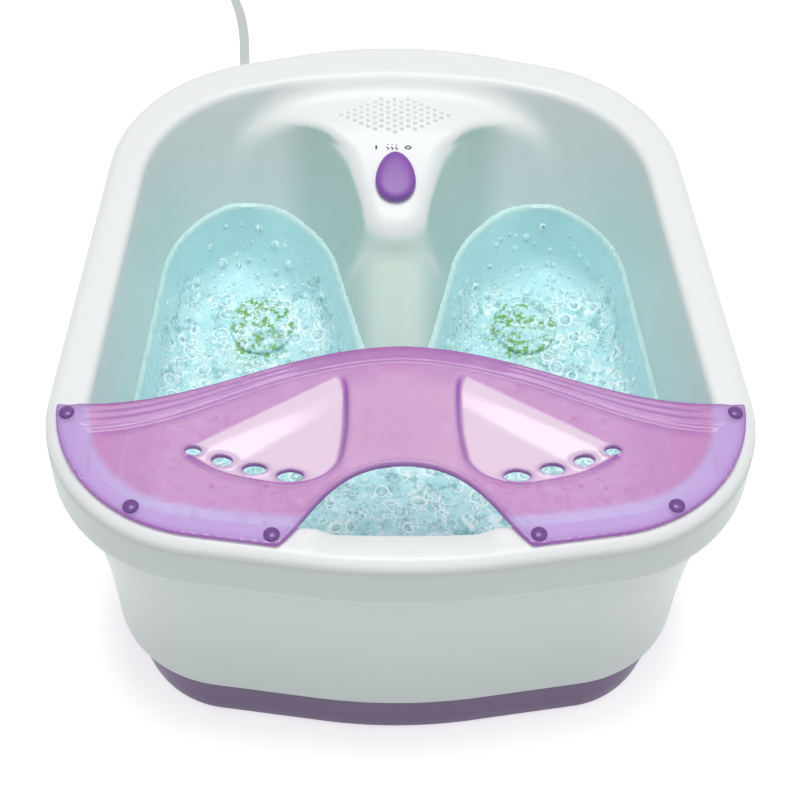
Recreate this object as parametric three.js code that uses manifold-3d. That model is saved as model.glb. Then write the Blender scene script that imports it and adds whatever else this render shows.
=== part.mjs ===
// Foot spa basin: a deep moulded tub for two feet with a control console at the heel end,
// a lift-off splash guard at the toe end, and a blower, heater and selector underneath.
// Millimetres. The origin is on the floor under the middle of the rim, +Z up, +X to the right,
// and +Y points to the heel end, where the user sits and where the power cord leaves.

import * as THREE from 'three';
import { mergeVertices } from 'three/addons/utils/BufferGeometryUtils.js';
import Module from 'manifold-3d';

const wasm = await Module();
wasm.setup();

// ---------------------------------------------------------------- driving dimensions

const WALL = 2.5; // moulded wall thickness of every housing
const GAP = 0.3; // clearance between neighbouring pieces

const RIM_TOP = 185; // height of the flat rim
const LIP_BOTTOM = 153; // lower edge of the skirt that hangs from the rim
const FLOOR_TOP = 62; // height of the basin's floor inside
const BED_TOP = 110; // upper edge of the foot bed's raised border
const WALL_BOTTOM = 24; // joint between the white wall and the coloured base
const BASE_BOTTOM = 3; // underside of the base, which the rubber feet lift off the floor
const BASE_FLOOR = BASE_BOTTOM + 2; // inner face of the base's floor

// Plan outlines. Each is two end arcs and, on each side, two rounded corners joined by tangents.
const RIM_PLAN = {
  front: { y: -202, radius: 321 },
  frontCorner: { x: 190, y: -176.5, radius: 92 },
  backCorner: { x: 163, y: 166, radius: 102 },
  back: { y: 202, radius: 239 },
};
const OPENING_PLAN = {
  front: { y: -177.5, radius: 620 },
  frontCorner: { x: 166, y: -158, radius: 62 },
  backCorner: { x: 143, y: 140, radius: 86 },
  back: { y: 171, radius: 257 },
};
const FLOOR_PLAN = {
  front: { y: -163, radius: 620 },
  frontCorner: { x: 158.5, y: -146, radius: 56 },
  backCorner: { x: 136, y: 120, radius: 74 },
  back: { y: 151, radius: 257 },
};
const OPENING_HEIGHT = 181; // where the basin's wall starts, under the rounded inner edge
const CURVE_HEIGHT = 80; // where the basin's wall starts to curve into the floor

// Console: half of its plan outline, from the nose towards the wall, at three heights.
const CONSOLE_FOOT = {
  z: 60,
  half: [[0, -49.6], [15.6, -46.6], [23.5, -34.7], [26.5, 8], [33.7, 35], [43, 62], [46.8, 73], [48.9, 82],
    [51.5, 92], [57, 96], [66, 101], [74.5, 106], [84, 114], [91.5, 124], [96, 132]],
};
const CONSOLE_LOW = {
  z: 110,
  half: [[0, -46], [12, -43], [19, -32], [22, 8], [26, 35], [31.8, 62], [34.8, 75], [36.6, 83],
    [41.5, 95], [47, 105], [57.5, 118], [67, 127.5], [76, 132.5], [85.5, 136], [96, 140]],
};
const CONSOLE_HIGH = {
  z: 165,
  half: [[0, -41], [4, -38], [5, -27], [5, 8], [5, 35], [5, 62], [6.5, 75], [12.8, 83],
    [17.4, 95], [21.6, 105], [28, 119], [36.5, 128], [47, 137], [66, 143], [96, 149]],
};
const CONSOLE_BACK = 190; // inside the rim, so that the console joins the back wall
// Height of the console and of the ridge in front of it, along the middle.
const CONSOLE_PROFILE = [[-45, 50], [-39, 62], [-34, 80], [-24, 98], [-9, 112], [6, 121], [30, 129],
  [58, 136], [66, 142], [75, 150], [87, 155], [105, 160.5], [122, 166], [135, 171], [150, 175], [168, 178],
  [CONSOLE_BACK, 178]];
// Height that the console's two wings fall to, towards the sides.
const WING_PROFILE = [[45, 180], [66, 171], [83, 159], [92, 146], [98, 128], [104, 100]];

// Selector knob, on the console's sloping face.
const KNOB = { y: 103, z: 159.8, slope: 17, length: 34, width: 24, height: 6.5 };

// Splash guard.
const GUARD_BOTTOM = RIM_TOP + GAP;
const GUARD_THICK = 2.5;
const PEG_PLACES = [[171, -107], [133.5, -167], [64.5, -184]]; // mirrored to the other side
const RIB_STEPS = 9;
// Oval holes over the toes: middle, half width and half length, mirrored to the other side.
const TOE_HOLES = [
  { x: 56.7, y: -144.6, halfWidth: 6.6, halfLength: 3.7 },
  { x: 74.6, y: -140.4, halfWidth: 5.9, halfLength: 3.4 },
  { x: 90.9, y: -136, halfWidth: 5, halfLength: 3 },
  { x: 105.5, y: -131.4, halfWidth: 4, halfLength: 2.6 },
];

// Massage pad under the arch of each foot.
const PAD = { x: 83, y: 70, halfWidth: 20, halfLength: 24 };
const PAD_NODES = [[-7, -15], [7, -15], [-12, 0], [0, -4], [12, 0], [0, 8], [-7, 16], [7, 16]];

// Drive: the motor, fan and eccentric weight share one shaft along Y.
const SHAFT_HEIGHT = 33;
const MANIFOLD = { x: 92, y: -25, width: 56, length: 130, bottom: 46 };

// Power cord.
const CORD = { width: 8, thick: 4.2 };
const EXIT = { x: -88, y: 195, z: 13 }; // tip of the strain relief
const CORD_ROUTE = [[-88, 195.3, 13], [-88.3, 211, 12.2], [-89.5, 227, 9], [-91.5, 243, 5], [-94, 260, 2.6],
  [-97, 280, 2.3], [-101.5, 310, 2.3], [-106, 345, 2.3], [-109.3, 378, 2.3], [-111.3, 408, 2.3],
  [-112.9, 440, 2.3], [-115.6, 466, 2.3], [-119.8, 486, 2.5], [-126.2, 512, 3.4], [-130, 541.4, 5.4]];
const COIL = { x: -86, y: 575, radius: 44, bundle: 15.5, height: 17.4, bottom: 1.6 };
const TAIL_ROUTE = [[-61, 626, 5.2], [-51, 623, 5.2], [-41, 617.6, 5.4], [-31, 610.4, 5.8],
  [-20, 601.5, 6.4]];
const PLUG = { x: -19.6, y: 601.2, turn: -39, z: 10 };

// ---------------------------------------------------------------- solids

// Turns a closed geometry into a solid that can be joined and cut.
function solidOf(geometry) {
  const bare = geometry.clone();
  bare.deleteAttribute('normal');
  bare.deleteAttribute('uv');
  const merged = mergeVertices(bare, 1e-4);
  return new wasm.Manifold(new wasm.Mesh({
    numProp: 3,
    vertProperties: new Float32Array(merged.attributes.position.array),
    triVerts: new Uint32Array(merged.index.array),
  }));
}

function geometryOf(solid) {
  const mesh = solid.getMesh();
  const geometry = new THREE.BufferGeometry();
  geometry.setAttribute('position', new THREE.BufferAttribute(new Float32Array(mesh.vertProperties), 3));
  geometry.setIndex(new THREE.BufferAttribute(new Uint32Array(mesh.triVerts), 1));
  geometry.computeVertexNormals();
  return geometry;
}

function box(x0, x1, y0, y1, z0, z1) {
  const geometry = new THREE.BoxGeometry(x1 - x0, y1 - y0, z1 - z0);
  geometry.translate((x0 + x1) / 2, (y0 + y1) / 2, (z0 + z1) / 2);
  return solidOf(geometry);
}

// An upright cylinder or cone from z0 to z1.
function post(x, y, z0, z1, radius, topRadius = radius, sides = 12) {
  const geometry = new THREE.CylinderGeometry(topRadius, radius, z1 - z0, sides);
  geometry.rotateX(Math.PI / 2);
  geometry.translate(x, y, (z0 + z1) / 2);
  return solidOf(geometry);
}

// A cylinder along Y, centred on the drive shaft's line.
function drum(y0, y1, radius, sides = 20) {
  const geometry = new THREE.CylinderGeometry(radius, radius, y1 - y0, sides);
  geometry.translate(0, (y0 + y1) / 2, SHAFT_HEIGHT);
  return solidOf(geometry);
}

// A cylinder along X.
function spigot(x0, x1, y, z, radius, sides = 10) {
  const geometry = new THREE.CylinderGeometry(radius, radius, Math.abs(x1 - x0), sides);
  geometry.rotateZ(Math.PI / 2);
  geometry.translate((x0 + x1) / 2, y, z);
  return solidOf(geometry);
}

// A rounded-corner plate between two heights.
function roundedPlate(x, y, width, length, corner, z0, z1) {
  const [w, l] = [width / 2 - corner, length / 2 - corner];
  const shape = new THREE.Shape();
  shape.absarc(w, l, corner, 0, Math.PI / 2);
  shape.absarc(-w, l, corner, Math.PI / 2, Math.PI);
  shape.absarc(-w, -l, corner, Math.PI, Math.PI * 1.5);
  shape.absarc(w, -l, corner, Math.PI * 1.5, Math.PI * 2);
  const settings = { depth: z1 - z0, bevelEnabled: false, curveSegments: 3 };
  const geometry = new THREE.ExtrudeGeometry(shape, settings);
  geometry.translate(x, y, z0);
  return solidOf(geometry);
}

function extrudeUp(points, z0, z1, holes = []) {
  const shape = new THREE.Shape(points);
  shape.holes = holes.map((hole) => new THREE.Path(hole));
  const geometry = new THREE.ExtrudeGeometry(shape, { depth: z1 - z0, bevelEnabled: false });
  geometry.translate(0, 0, z0);
  return solidOf(geometry);
}

// Skins a stack of rings with the same number of points, and closes it with two flat caps.
function skin(rings) {
  const count = rings[0].length;
  const positions = rings.flat().flatMap((p) => [p.x, p.y, p.z]);
  const faces = [];
  for (let r = 0; r + 1 < rings.length; r += 1) {
    for (let i = 0; i < count; i += 1) {
      const j = (i + 1) % count;
      const [a, b] = [r * count + i, r * count + j];
      faces.push(a, b, b + count, a, b + count, a + count);
    }
  }
  const last = (rings.length - 1) * count;
  for (const [a, b, c] of THREE.ShapeUtils.triangulateShape(flatten(rings[0]), [])) {
    faces.push(a, c, b);
  }
  for (const [a, b, c] of THREE.ShapeUtils.triangulateShape(flatten(rings.at(-1)), [])) {
    faces.push(last + a, last + b, last + c);
  }
  const geometry = new THREE.BufferGeometry();
  geometry.setAttribute('position', new THREE.Float32BufferAttribute(positions, 3));
  geometry.setIndex(faces);
  return solidOf(geometry);
}

// The ring as a counter-clockwise outline in its own plane.
function flatten(ring) {
  const normal = new THREE.Vector3();
  ring.forEach((p, i) => normal.add(new THREE.Vector3().crossVectors(p, ring[(i + 1) % ring.length])));
  normal.normalize();
  const across = ring[1].clone().sub(ring[0]).normalize();
  const along = new THREE.Vector3().crossVectors(normal, across);
  return ring.map((p) => new THREE.Vector2(p.dot(across), p.dot(along)));
}

// A stack of plan outlines, each with its height, skinned into one solid.
function loft(levels) {
  return skin(levels.map(({ loop, z }) => loop.map((p) => new THREE.Vector3(p.x, p.y, z))));
}

// A tube of the given half-axes along a route, kept level across its width.
function flatTube(route, halfWidth, halfThick, steps, sides = 8) {
  const curve = new THREE.CatmullRomCurve3(route.map((p) => new THREE.Vector3(...p)));
  const rings = [];
  for (let s = 0; s <= steps; s += 1) {
    const tangent = curve.getTangentAt(s / steps);
    const across = new THREE.Vector3(0, 0, 1).cross(tangent).normalize();
    const up = new THREE.Vector3().crossVectors(tangent, across);
    const centre = curve.getPointAt(s / steps);
    rings.push(Array.from({ length: sides }, (_, i) => {
      const angle = ((i + 0.5) / sides) * Math.PI * 2;
      return centre.clone()
        .addScaledVector(across, halfWidth * Math.cos(angle))
        .addScaledVector(up, halfThick * Math.sin(angle));
    }));
  }
  return skin(rings);
}

// A round wire or hose along a route.
function wire(route, radius, bore = 0) {
  const curve = new THREE.CatmullRomCurve3(route.map((p) => new THREE.Vector3(...p)));
  const section = new THREE.Shape().absarc(0, 0, radius, 0, Math.PI * 2);
  if (bore > 0) {
    section.holes.push(new THREE.Path().absarc(0, 0, bore, 0, Math.PI * 2, true));
  }
  const steps = Math.ceil(curve.getLength() / (radius * 6));
  return solidOf(new THREE.ExtrudeGeometry(section, { steps, curveSegments: 3, extrudePath: curve }));
}

// ---------------------------------------------------------------- plan outlines

// Points of an arc that rounds a corner between the points before and after it.
function roundCorner(before, corner, after, radius, steps) {
  const toBefore = before.clone().sub(corner).normalize();
  const toAfter = after.clone().sub(corner).normalize();
  const halfAngle = Math.acos(toBefore.dot(toAfter)) / 2;
  const bisector = toBefore.clone().add(toAfter).normalize();
  const centre = corner.clone().addScaledVector(bisector, radius / Math.sin(halfAngle));
  const start = corner.clone().addScaledVector(toBefore, radius / Math.tan(halfAngle)).sub(centre);
  const turn = Math.PI - 2 * halfAngle;
  return Array.from({ length: steps + 1 }, (_, i) => start.clone()
    .rotateAround(new THREE.Vector2(), (turn * i) / steps)
    .add(centre));
}

// Points of an end arc on the +X side, and the last of them touches the tangent to the corner.
function endArc(end, corner, steps) {
  const side = Math.sign(end.y);
  const centreY = end.y - side * end.radius;
  const toCorner = new THREE.Vector2(corner.x, corner.y - centreY);
  const swing = Math.acos(end.radius / toCorner.length());
  const limit = Math.atan2(toCorner.y, toCorner.x) + side * swing;
  const middle = (side * Math.PI) / 2;
  return Array.from({ length: steps + 1 }, (_, i) => {
    const angle = middle + ((limit - middle) * i) / steps;
    return new THREE.Vector2(end.radius * Math.cos(angle), centreY + end.radius * Math.sin(angle));
  });
}

// The whole counter-clockwise outline of a plan.
function planLoop(plan, endSteps = 3, cornerSteps = 5) {
  const frontCorner = new THREE.Vector2(plan.frontCorner.x, plan.frontCorner.y);
  const backCorner = new THREE.Vector2(plan.backCorner.x, plan.backCorner.y);
  const front = endArc(plan.front, frontCorner, endSteps);
  const back = endArc(plan.back, backCorner, endSteps).reverse();
  const right = [
    ...front,
    ...roundCorner(front.at(-1), frontCorner, backCorner, plan.frontCorner.radius, cornerSteps),
    ...roundCorner(frontCorner, backCorner, back[0], plan.backCorner.radius, cornerSteps),
    ...back,
  ];
  return mirrored(right);
}

// Closes a half outline, given from -Y to +Y on the +X side, with its mirror image.
function mirrored(right) {
  const left = right.slice(1, -1).reverse().map((p) => new THREE.Vector2(-p.x, p.y));
  return [...right, ...left];
}

// Moves an outline inwards, evenly or by one distance at its sides and another at its two ends.
function inset(loop, atSides, atEnds = atSides) {
  return loop.map((p, i) => {
    const along = loop[(i + 1) % loop.length].clone().sub(loop.at(i - 1)).normalize();
    const distance = atSides + (atEnds - atSides) * along.x ** 2;
    return new THREE.Vector2(p.x - along.y * distance, p.y + along.x * distance);
  });
}

function mixPlans(a, b, t) {
  const mix = {};
  for (const key of Object.keys(a)) {
    mix[key] = typeof a[key] === 'number' ? a[key] + (b[key] - a[key]) * t : mixPlans(a[key], b[key], t);
  }
  return mix;
}

const rimLoop = planLoop(RIM_PLAN);

// ---------------------------------------------------------------- basin surfaces

// The space inside the basin, shrunk by a distance on every side and open above its top.
function basinSpace(shrink, top) {
  const wallLoop = (z) => inset(
    planLoop(mixPlans(OPENING_PLAN, FLOOR_PLAN, (OPENING_HEIGHT - z) / (OPENING_HEIGHT - CURVE_HEIGHT))),
    shrink,
  );
  const floorLoop = (distance) => inset(wallLoop(CURVE_HEIGHT), distance);
  const levels = [
    { loop: floorLoop(17), z: FLOOR_TOP + shrink },
    { loop: floorLoop(9), z: FLOOR_TOP + 2 + shrink },
    { loop: floorLoop(3), z: FLOOR_TOP + 8 + shrink / 2 },
    { loop: wallLoop(CURVE_HEIGHT), z: CURVE_HEIGHT },
    { loop: wallLoop(BED_TOP), z: BED_TOP },
    { loop: wallLoop(OPENING_HEIGHT), z: OPENING_HEIGHT },
    { loop: inset(wallLoop(OPENING_HEIGHT), -1), z: OPENING_HEIGHT + 2.4 },
    { loop: inset(wallLoop(OPENING_HEIGHT), -4), z: RIM_TOP + 0.2 },
  ];
  return loft(levels).intersect(box(-300, 300, -300, 300, 0, top));
}

// The console with its ridge, grown by a distance on every side, and reaching down to a height.
function consoleBody(grow, bottom) {
  const outline = ({ half }) => {
    const points = new THREE.SplineCurve(half.map((p) => new THREE.Vector2(...p))).getPoints(16);
    const corner = new THREE.Vector2(half.at(-1)[0], CONSOLE_BACK);
    return inset(mirrored([...points, corner, new THREE.Vector2(0, CONSOLE_BACK)]), -grow);
  };
  const foot = outline(CONSOLE_FOOT);
  const low = outline(CONSOLE_LOW);
  const high = outline(CONSOLE_HIGH);
  const t = (bottom - CONSOLE_FOOT.z) / (CONSOLE_LOW.z - CONSOLE_FOOT.z);
  const body = loft([
    { loop: foot.map((p, i) => p.clone().lerp(low[i], t)), z: bottom },
    { loop: low, z: CONSOLE_LOW.z },
    { loop: high, z: CONSOLE_HIGH.z },
    { loop: high, z: RIM_TOP },
  ]);
  return body
    .intersect(sideCutter(CONSOLE_PROFILE, grow, bottom))
    .intersect(frontCutter(WING_PROFILE, grow, bottom));
}

// Everything under a height profile that runs along Y.
function sideCutter(profile, grow, bottom) {
  const [start, end] = [profile[0], profile.at(-1)];
  const outline = [
    new THREE.Vector2(end[0] + 1, bottom),
    new THREE.Vector2(end[0] + 1, end[1] + grow),
    ...profile.slice().reverse().map(([y, z]) => new THREE.Vector2(y - grow * 0.3, z + grow)),
    new THREE.Vector2(start[0] - 1 - grow, bottom),
  ];
  const geometry = new THREE.ExtrudeGeometry(new THREE.Shape(outline), { depth: 240, bevelEnabled: false });
  geometry.rotateY(Math.PI / 2);
  geometry.rotateX(Math.PI / 2);
  geometry.translate(-120, 0, 0);
  return solidOf(geometry);
}

// Everything under a height profile that runs out to both sides.
function frontCutter(profile, grow, bottom) {
  const right = profile.map(([x, z]) => new THREE.Vector2(x + grow, z + grow));
  const left = right.map((p) => new THREE.Vector2(-p.x, p.y)).reverse();
  const edge = right.at(-1).x;
  const outline = [
    new THREE.Vector2(-edge, bottom), new THREE.Vector2(edge, bottom), ...right.reverse(), ...left.reverse(),
  ];
  const geometry = new THREE.ExtrudeGeometry(new THREE.Shape(outline), { depth: 320, bevelEnabled: false });
  geometry.rotateX(Math.PI / 2);
  geometry.translate(0, 210, 0);
  return solidOf(geometry);
}

// Places of the bubble holes, in two rows under each foot.
const bubbleHoles = [];
for (const x of [76, 108]) {
  for (let row = 0; row < 5; row += 1) {
    bubbleHoles.push([x, -84 + row * 26], [-x, -84 + row * 26]);
  }
}

const screwPlaces = [[112, 92], [-112, 92], [128, -118], [-128, -118]];
const footPlaces = [[88, 112], [-88, 112], [104, -132], [-104, -132]];

// ---------------------------------------------------------------- housings

// The white tub: rim, hanging lip, basin, console and ridge, moulded in one piece.
function basinShell() {
  const rim = loft([
    { loop: inset(rimLoop, 1.2), z: LIP_BOTTOM },
    { loop: rimLoop, z: LIP_BOTTOM + 3 },
    { loop: rimLoop, z: RIM_TOP - 8 },
    { loop: inset(rimLoop, 1.4), z: RIM_TOP - 3.6 },
    { loop: inset(rimLoop, 4), z: RIM_TOP - 1 },
    { loop: inset(rimLoop, 7.5), z: RIM_TOP },
  ]);
  const pourScoop = loft([
    { loop: rectangle(-35, 35, -171, -150), z: RIM_TOP - 9 },
    { loop: rectangle(-44, 44, -192, -150), z: RIM_TOP + 1 },
  ]);
  const scoopBacking = box(-48, 48, -196, -150, RIM_TOP - 12, RIM_TOP);
  const underRim = loft([
    { loop: inset(rimLoop, WALL), z: LIP_BOTTOM - 1 },
    { loop: inset(rimLoop, WALL), z: RIM_TOP - 9 },
    { loop: inset(rimLoop, WALL + 5), z: RIM_TOP - WALL },
  ]);
  const tub = basinSpace(-WALL, RIM_TOP - 1);
  const inside = basinSpace(0, RIM_TOP + 10).subtract(consoleBody(0, 40));
  let shell = rim.subtract(underRim.subtract(scoopBacking)).add(tub);
  for (const [x, y] of screwPlaces) {
    shell = shell.add(post(x, y, BASE_FLOOR + GAP, FLOOR_TOP - 1, 5.5, 5.5, 10));
  }
  shell = shell.subtract(inside).subtract(consoleBody(-WALL, 40)).subtract(pourScoop);
  for (const [x, y] of screwPlaces) {
    shell = shell.subtract(post(x, y, 0, 22, 2.4, 2.4, 8));
  }
  for (const [x, y] of bubbleHoles) {
    shell = shell.subtract(post(x, y, 50, 70, 1.6, 1.6, 6));
  }
  for (const [x, y] of PEG_PLACES) {
    shell = shell.subtract(post(x, y, 176, 190, 3.2, 3.2, 8)).subtract(post(-x, y, 176, 190, 3.2, 3.2, 8));
  }
  return mainBody(shell.subtract(knobSolid(4.2, -12, 12, 12)));
}

function rectangle(x0, x1, y0, y1) {
  return [[x0, y0], [x1, y0], [x1, y1], [x0, y1]].map((p) => new THREE.Vector2(...p));
}

// The largest body of a solid, without the slivers that a cut leaves beside it.
function mainBody(solid) {
  return solid.decompose().reduce((a, b) => (b.volume() > a.volume() ? b : a));
}

// A cylinder about the knob's axis, between two distances along it from the console's face.
function knobSolid(radius, from, to, sides = 20) {
  const geometry = new THREE.CylinderGeometry(radius, radius, to - from, sides);
  geometry.rotateX(Math.PI / 2);
  geometry.translate(0, 0, (from + to) / 2);
  return solidOf(geometry.applyMatrix4(knobFrame()));
}

function knobFrame() {
  const tilt = new THREE.Matrix4().makeRotationX(THREE.MathUtils.degToRad(KNOB.slope));
  return tilt.setPosition(0, KNOB.y, KNOB.z);
}

// The white outer wall, which narrows towards the base and stands inside the lip.
function outerShell() {
  const levels = [[22.5, WALL_BOTTOM + GAP], [21, 60], [14, 120], [9.5, 160], [9, 172]];
  const skinAt = (extra) => loft(levels.map(([distance, z], i) => ({
    loop: inset(rimLoop, distance + extra),
    z: z + (extra > 0 ? [-1, 0, 0, 0, 1][i] : 0),
  })));
  return skinAt(0).subtract(skinAt(WALL));
}

// The coloured base: a tray that spreads at its ends and tapers at its sides towards the floor. Its
// inner lip stands inside the outer wall.
function basePan() {
  const side = loft([
    { loop: inset(rimLoop, 34.5, 20.8), z: BASE_BOTTOM },
    { loop: inset(rimLoop, 33.5, 20), z: BASE_BOTTOM + 2.5 },
    { loop: inset(rimLoop, 24.2), z: WALL_BOTTOM },
  ]);
  const lip = loft([
    { loop: inset(rimLoop, 25.6), z: WALL_BOTTOM - 2 },
    { loop: inset(rimLoop, 25.6), z: WALL_BOTTOM + 6 },
  ]);
  const hollow = loft([
    { loop: inset(rimLoop, 37.3, 23.8), z: BASE_FLOOR },
    { loop: inset(rimLoop, 27.8), z: WALL_BOTTOM },
    { loop: inset(rimLoop, 27.8), z: WALL_BOTTOM + 7 },
  ]);
  let pan = side.add(lip).subtract(hollow);
  for (const [x, y] of screwPlaces) {
    pan = pan.subtract(post(x, y, 0, 10, 2.4, 2.4, 8)).subtract(post(x, y, 0, BASE_BOTTOM + 1, 4.6, 3.6, 8));
  }
  for (const [x, y] of footPlaces) {
    pan = pan.subtract(post(x, y, 0, 8, 3.3, 3.3, 8));
  }
  return pan.subtract(box(EXIT.x - 6.8, EXIT.x + 6.8, 130, 190, EXIT.z - 4.8, EXIT.z + 4.8));
}

// The coloured liner on the basin's floor, with a border that climbs the walls.
function footBed() {
  const outside = basinSpace(GAP, BED_TOP).subtract(consoleBody(GAP, 40));
  const inside = basinSpace(GAP + 2.2, BED_TOP + 5).subtract(consoleBody(GAP + 2.2, 40));
  let bed = outside.subtract(inside);
  for (const [x, y] of bubbleHoles) {
    bed = bed.subtract(post(x, y, 50, 70, 1.6, 1.6, 6));
  }
  return bed;
}

// A soft green massage pad with rounded nodes, on the bed under the arch of one foot.
function massagePad(side) {
  const [bottom, top] = [FLOOR_TOP + 2.5 + GAP, FLOOR_TOP + 6];
  const [x, y] = [side * PAD.x, PAD.y];
  const outline = new THREE.EllipseCurve(x, y, PAD.halfWidth, PAD.halfLength).getPoints(16).slice(0, -1);
  let pad = extrudeUp(outline, bottom, top);
  for (const [dx, dy] of PAD_NODES) {
    pad = pad.add(post(x + dx, y + dy, top - 1, top + 4, 3.4, 1.6, 6));
  }
  return pad;
}

// ---------------------------------------------------------------- splash guard

// The guard's plan: back edge, outer edge that follows the rim, and the arch cut out of the front.
function guardOutline() {
  const outer = inset(planLoop(RIM_PLAN, 5, 8), 6.5).filter((p) => p.x > 60 && p.y < -101);
  const archStart = new THREE.Vector2(62, outer[0].y - 0.4);
  const arch = new THREE.CubicBezierCurve(
    new THREE.Vector2(0, -140.5), new THREE.Vector2(38, -140.5), new THREE.Vector2(46, -177), archStart,
  ).getPoints(8);
  const back = new THREE.CubicBezierCurve(
    new THREE.Vector2(outer.at(-1).x, -100.5), new THREE.Vector2(108, -108), new THREE.Vector2(68, -63),
    new THREE.Vector2(0, -61),
  ).getPoints(10);
  return mirrored([...arch, ...outer, ...back]);
}

function splashGuard() {
  const holes = [];
  for (const { x, y, halfWidth, halfLength } of TOE_HOLES) {
    for (const side of [1, -1]) {
      holes.push(new THREE.EllipseCurve(side * x, y, halfWidth, halfLength).getPoints(10).slice(0, -1));
    }
  }
  let guard = extrudeUp(guardOutline(), GUARD_BOTTOM, GUARD_BOTTOM + GUARD_THICK, holes);
  guard = guard.add(guardRidge(0, 3, GUARD_THICK + 1.6)).add(guardRidge(7, 9, GUARD_THICK + 1));
  for (const [x, y] of PEG_PLACES) {
    guard = guard.subtract(post(x, y, 180, 195, 3.1, 3.1, 8)).subtract(post(-x, y, 180, 195, 3.1, 3.1, 8));
  }
  return guard;
}

// A raised rib that runs along the guard's back edge, between two distances from it.
function guardRidge(from, to, height) {
  const back = new THREE.CubicBezierCurve(
    new THREE.Vector2(160, -101), new THREE.Vector2(104, -107), new THREE.Vector2(68, -63),
    new THREE.Vector2(0, -61),
  ).getPoints(RIB_STEPS);
  const moved = (distance) => mirrored(back)
    .slice(0, 2 * RIB_STEPS + 1)
    .map((p) => new THREE.Vector2(p.x, p.y - distance));
  return extrudeUp([...moved(from), ...moved(to).reverse()], GUARD_BOTTOM + 1, GUARD_BOTTOM + height);
}

// A domed peg that holds the guard in its socket in the rim.
function guardPeg(x, y) {
  const top = GUARD_BOTTOM + GUARD_THICK;
  const profile = [
    [0, -12], [1.8, -12], [2.7, -10.5], [2.7, GAP], [3.9, GAP], [3.5, 1.4], [2.2, 2.3], [0, 2.6],
  ].map((p) => new THREE.Vector2(...p));
  const geometry = new THREE.LatheGeometry(profile, 8);
  geometry.rotateX(Math.PI / 2);
  geometry.translate(x, y, top);
  return solidOf(geometry);
}

// ---------------------------------------------------------------- selector

// The egg-shaped knob: a superellipse-like outline, narrower towards its tip, with a domed top.
function knob() {
  const egg = (scale) => Array.from({ length: 20 }, (_, i) => {
    const angle = (i / 20) * Math.PI * 2;
    const taper = 1 - 0.17 * Math.sin(angle);
    return new THREE.Vector2(
      (KNOB.width / 2) * scale * taper * Math.cos(angle), (KNOB.length / 2) * scale * Math.sin(angle),
    );
  });
  const body = loft([
    { loop: egg(0.97), z: 0.8 }, { loop: egg(1), z: 1.8 }, { loop: egg(0.98), z: 4 },
    { loop: egg(0.86), z: 5.8 }, { loop: egg(0.6), z: KNOB.height },
  ]);
  return body.subtract(post(0, 0, 0, 4.4, 3.3, 3.3, 12));
}

const knobShaft = () => post(0, 0, -10, 4.1, 3, 3, 12);
const shaftSeal = () => post(0, 0, -5, -3, 7).subtract(post(0, 0, -6, 0, 3.4));
const rotarySwitch = () => post(0, 0, -22, -5.4, 12).subtract(post(0, 0, -10.5, 0, 3.4));

// ---------------------------------------------------------------- drive

function motorCan() {
  return drum(58, 96, 21).subtract(drum(60.5, 97, 18.5)).subtract(drum(50, 70, 3.2, 14));
}

const motorEndCap = () => drum(96.3, 100, 21).subtract(drum(90, 110, 3.2, 14));
const motorArmature = () => drum(66, 90, 14).subtract(drum(60, 95, 2.5, 14));
const motorShaft = () => drum(22, 114, 2.2, 12);

// Half a disc on a hub, so that it shakes the tub as it spins.
function eccentricWeight() {
  const halfDisc = drum(103, 111, 15).subtract(box(-20, 20, 100, 115, SHAFT_HEIGHT, SHAFT_HEIGHT + 20));
  return halfDisc.add(drum(103, 111, 5.5)).subtract(drum(100, 115, 2.5, 12));
}

function motorBracket() {
  const block = box(-19, 19, 62, 92, 8, 17).subtract(drum(50, 110, 21 + GAP));
  return block.add(box(-30, 30, 66, 88, 8, 10.5));
}

function blowerHousing() {
  const radius = 25;
  let housing = drum(24, 50, radius);
  for (const side of [1, -1]) {
    housing = housing.add(spigot(side * (radius - 4), side * 37, 37, SHAFT_HEIGHT, 5.5));
  }
  housing = housing.subtract(drum(20, 47.5, radius - 2.5));
  for (const side of [1, -1]) {
    housing = housing.subtract(spigot(side * (radius - 6), side * 40, 37, SHAFT_HEIGHT, 3.5));
  }
  return housing.subtract(drum(40, 60, 3.2, 14));
}

const blowerCover = () => drum(20.5, 23.7, 25).subtract(drum(10, 30, 9, 16));

function impeller() {
  let wheel = drum(42, 44, 19).add(drum(29, 43, 5));
  for (let blade = 0; blade < 8; blade += 1) {
    const geometry = new THREE.BoxGeometry(14.5, 13, 1.4);
    geometry.translate(11.5, 36, 0);
    geometry.rotateY((blade / 8) * Math.PI * 2);
    geometry.translate(0, 0, SHAFT_HEIGHT);
    wheel = wheel.add(solidOf(geometry));
  }
  return wheel.subtract(drum(20, 60, 2.5, 12));
}

function airHose(side) {
  const end = MANIFOLD.x - MANIFOLD.width / 2 - 6.3;
  const inlet = MANIFOLD.bottom + 6.5;
  return wire([
    [side * 37.3, 37, SHAFT_HEIGHT],
    [side * 40, 37, SHAFT_HEIGHT],
    [side * 47.6, 37, (SHAFT_HEIGHT + inlet) / 2],
    [side * (end - 2.7), 37, inlet], [side * end, 37, inlet],
  ], 5, 3.5);
}

// A shallow open-topped channel under the floor, which feeds one foot's bubble holes.
function airManifold(side) {
  const { x, y, width, length, bottom } = MANIFOLD;
  const top = FLOOR_TOP - WALL - GAP;
  const inlet = side * (x - width / 2);
  const tray = roundedPlate(side * x, y, width, length, 8, bottom, top)
    .add(spigot(inlet + side * 2, inlet - side * 6, 37, bottom + 6.5, 5));
  return tray
    .subtract(roundedPlate(side * x, y, width - 4, length - 4, 6, bottom + 2, top + 1))
    .subtract(spigot(inlet + side * 4, inlet - side * 8, 37, bottom + 6.5, 3.5));
}

// ---------------------------------------------------------------- heater and wiring

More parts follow.
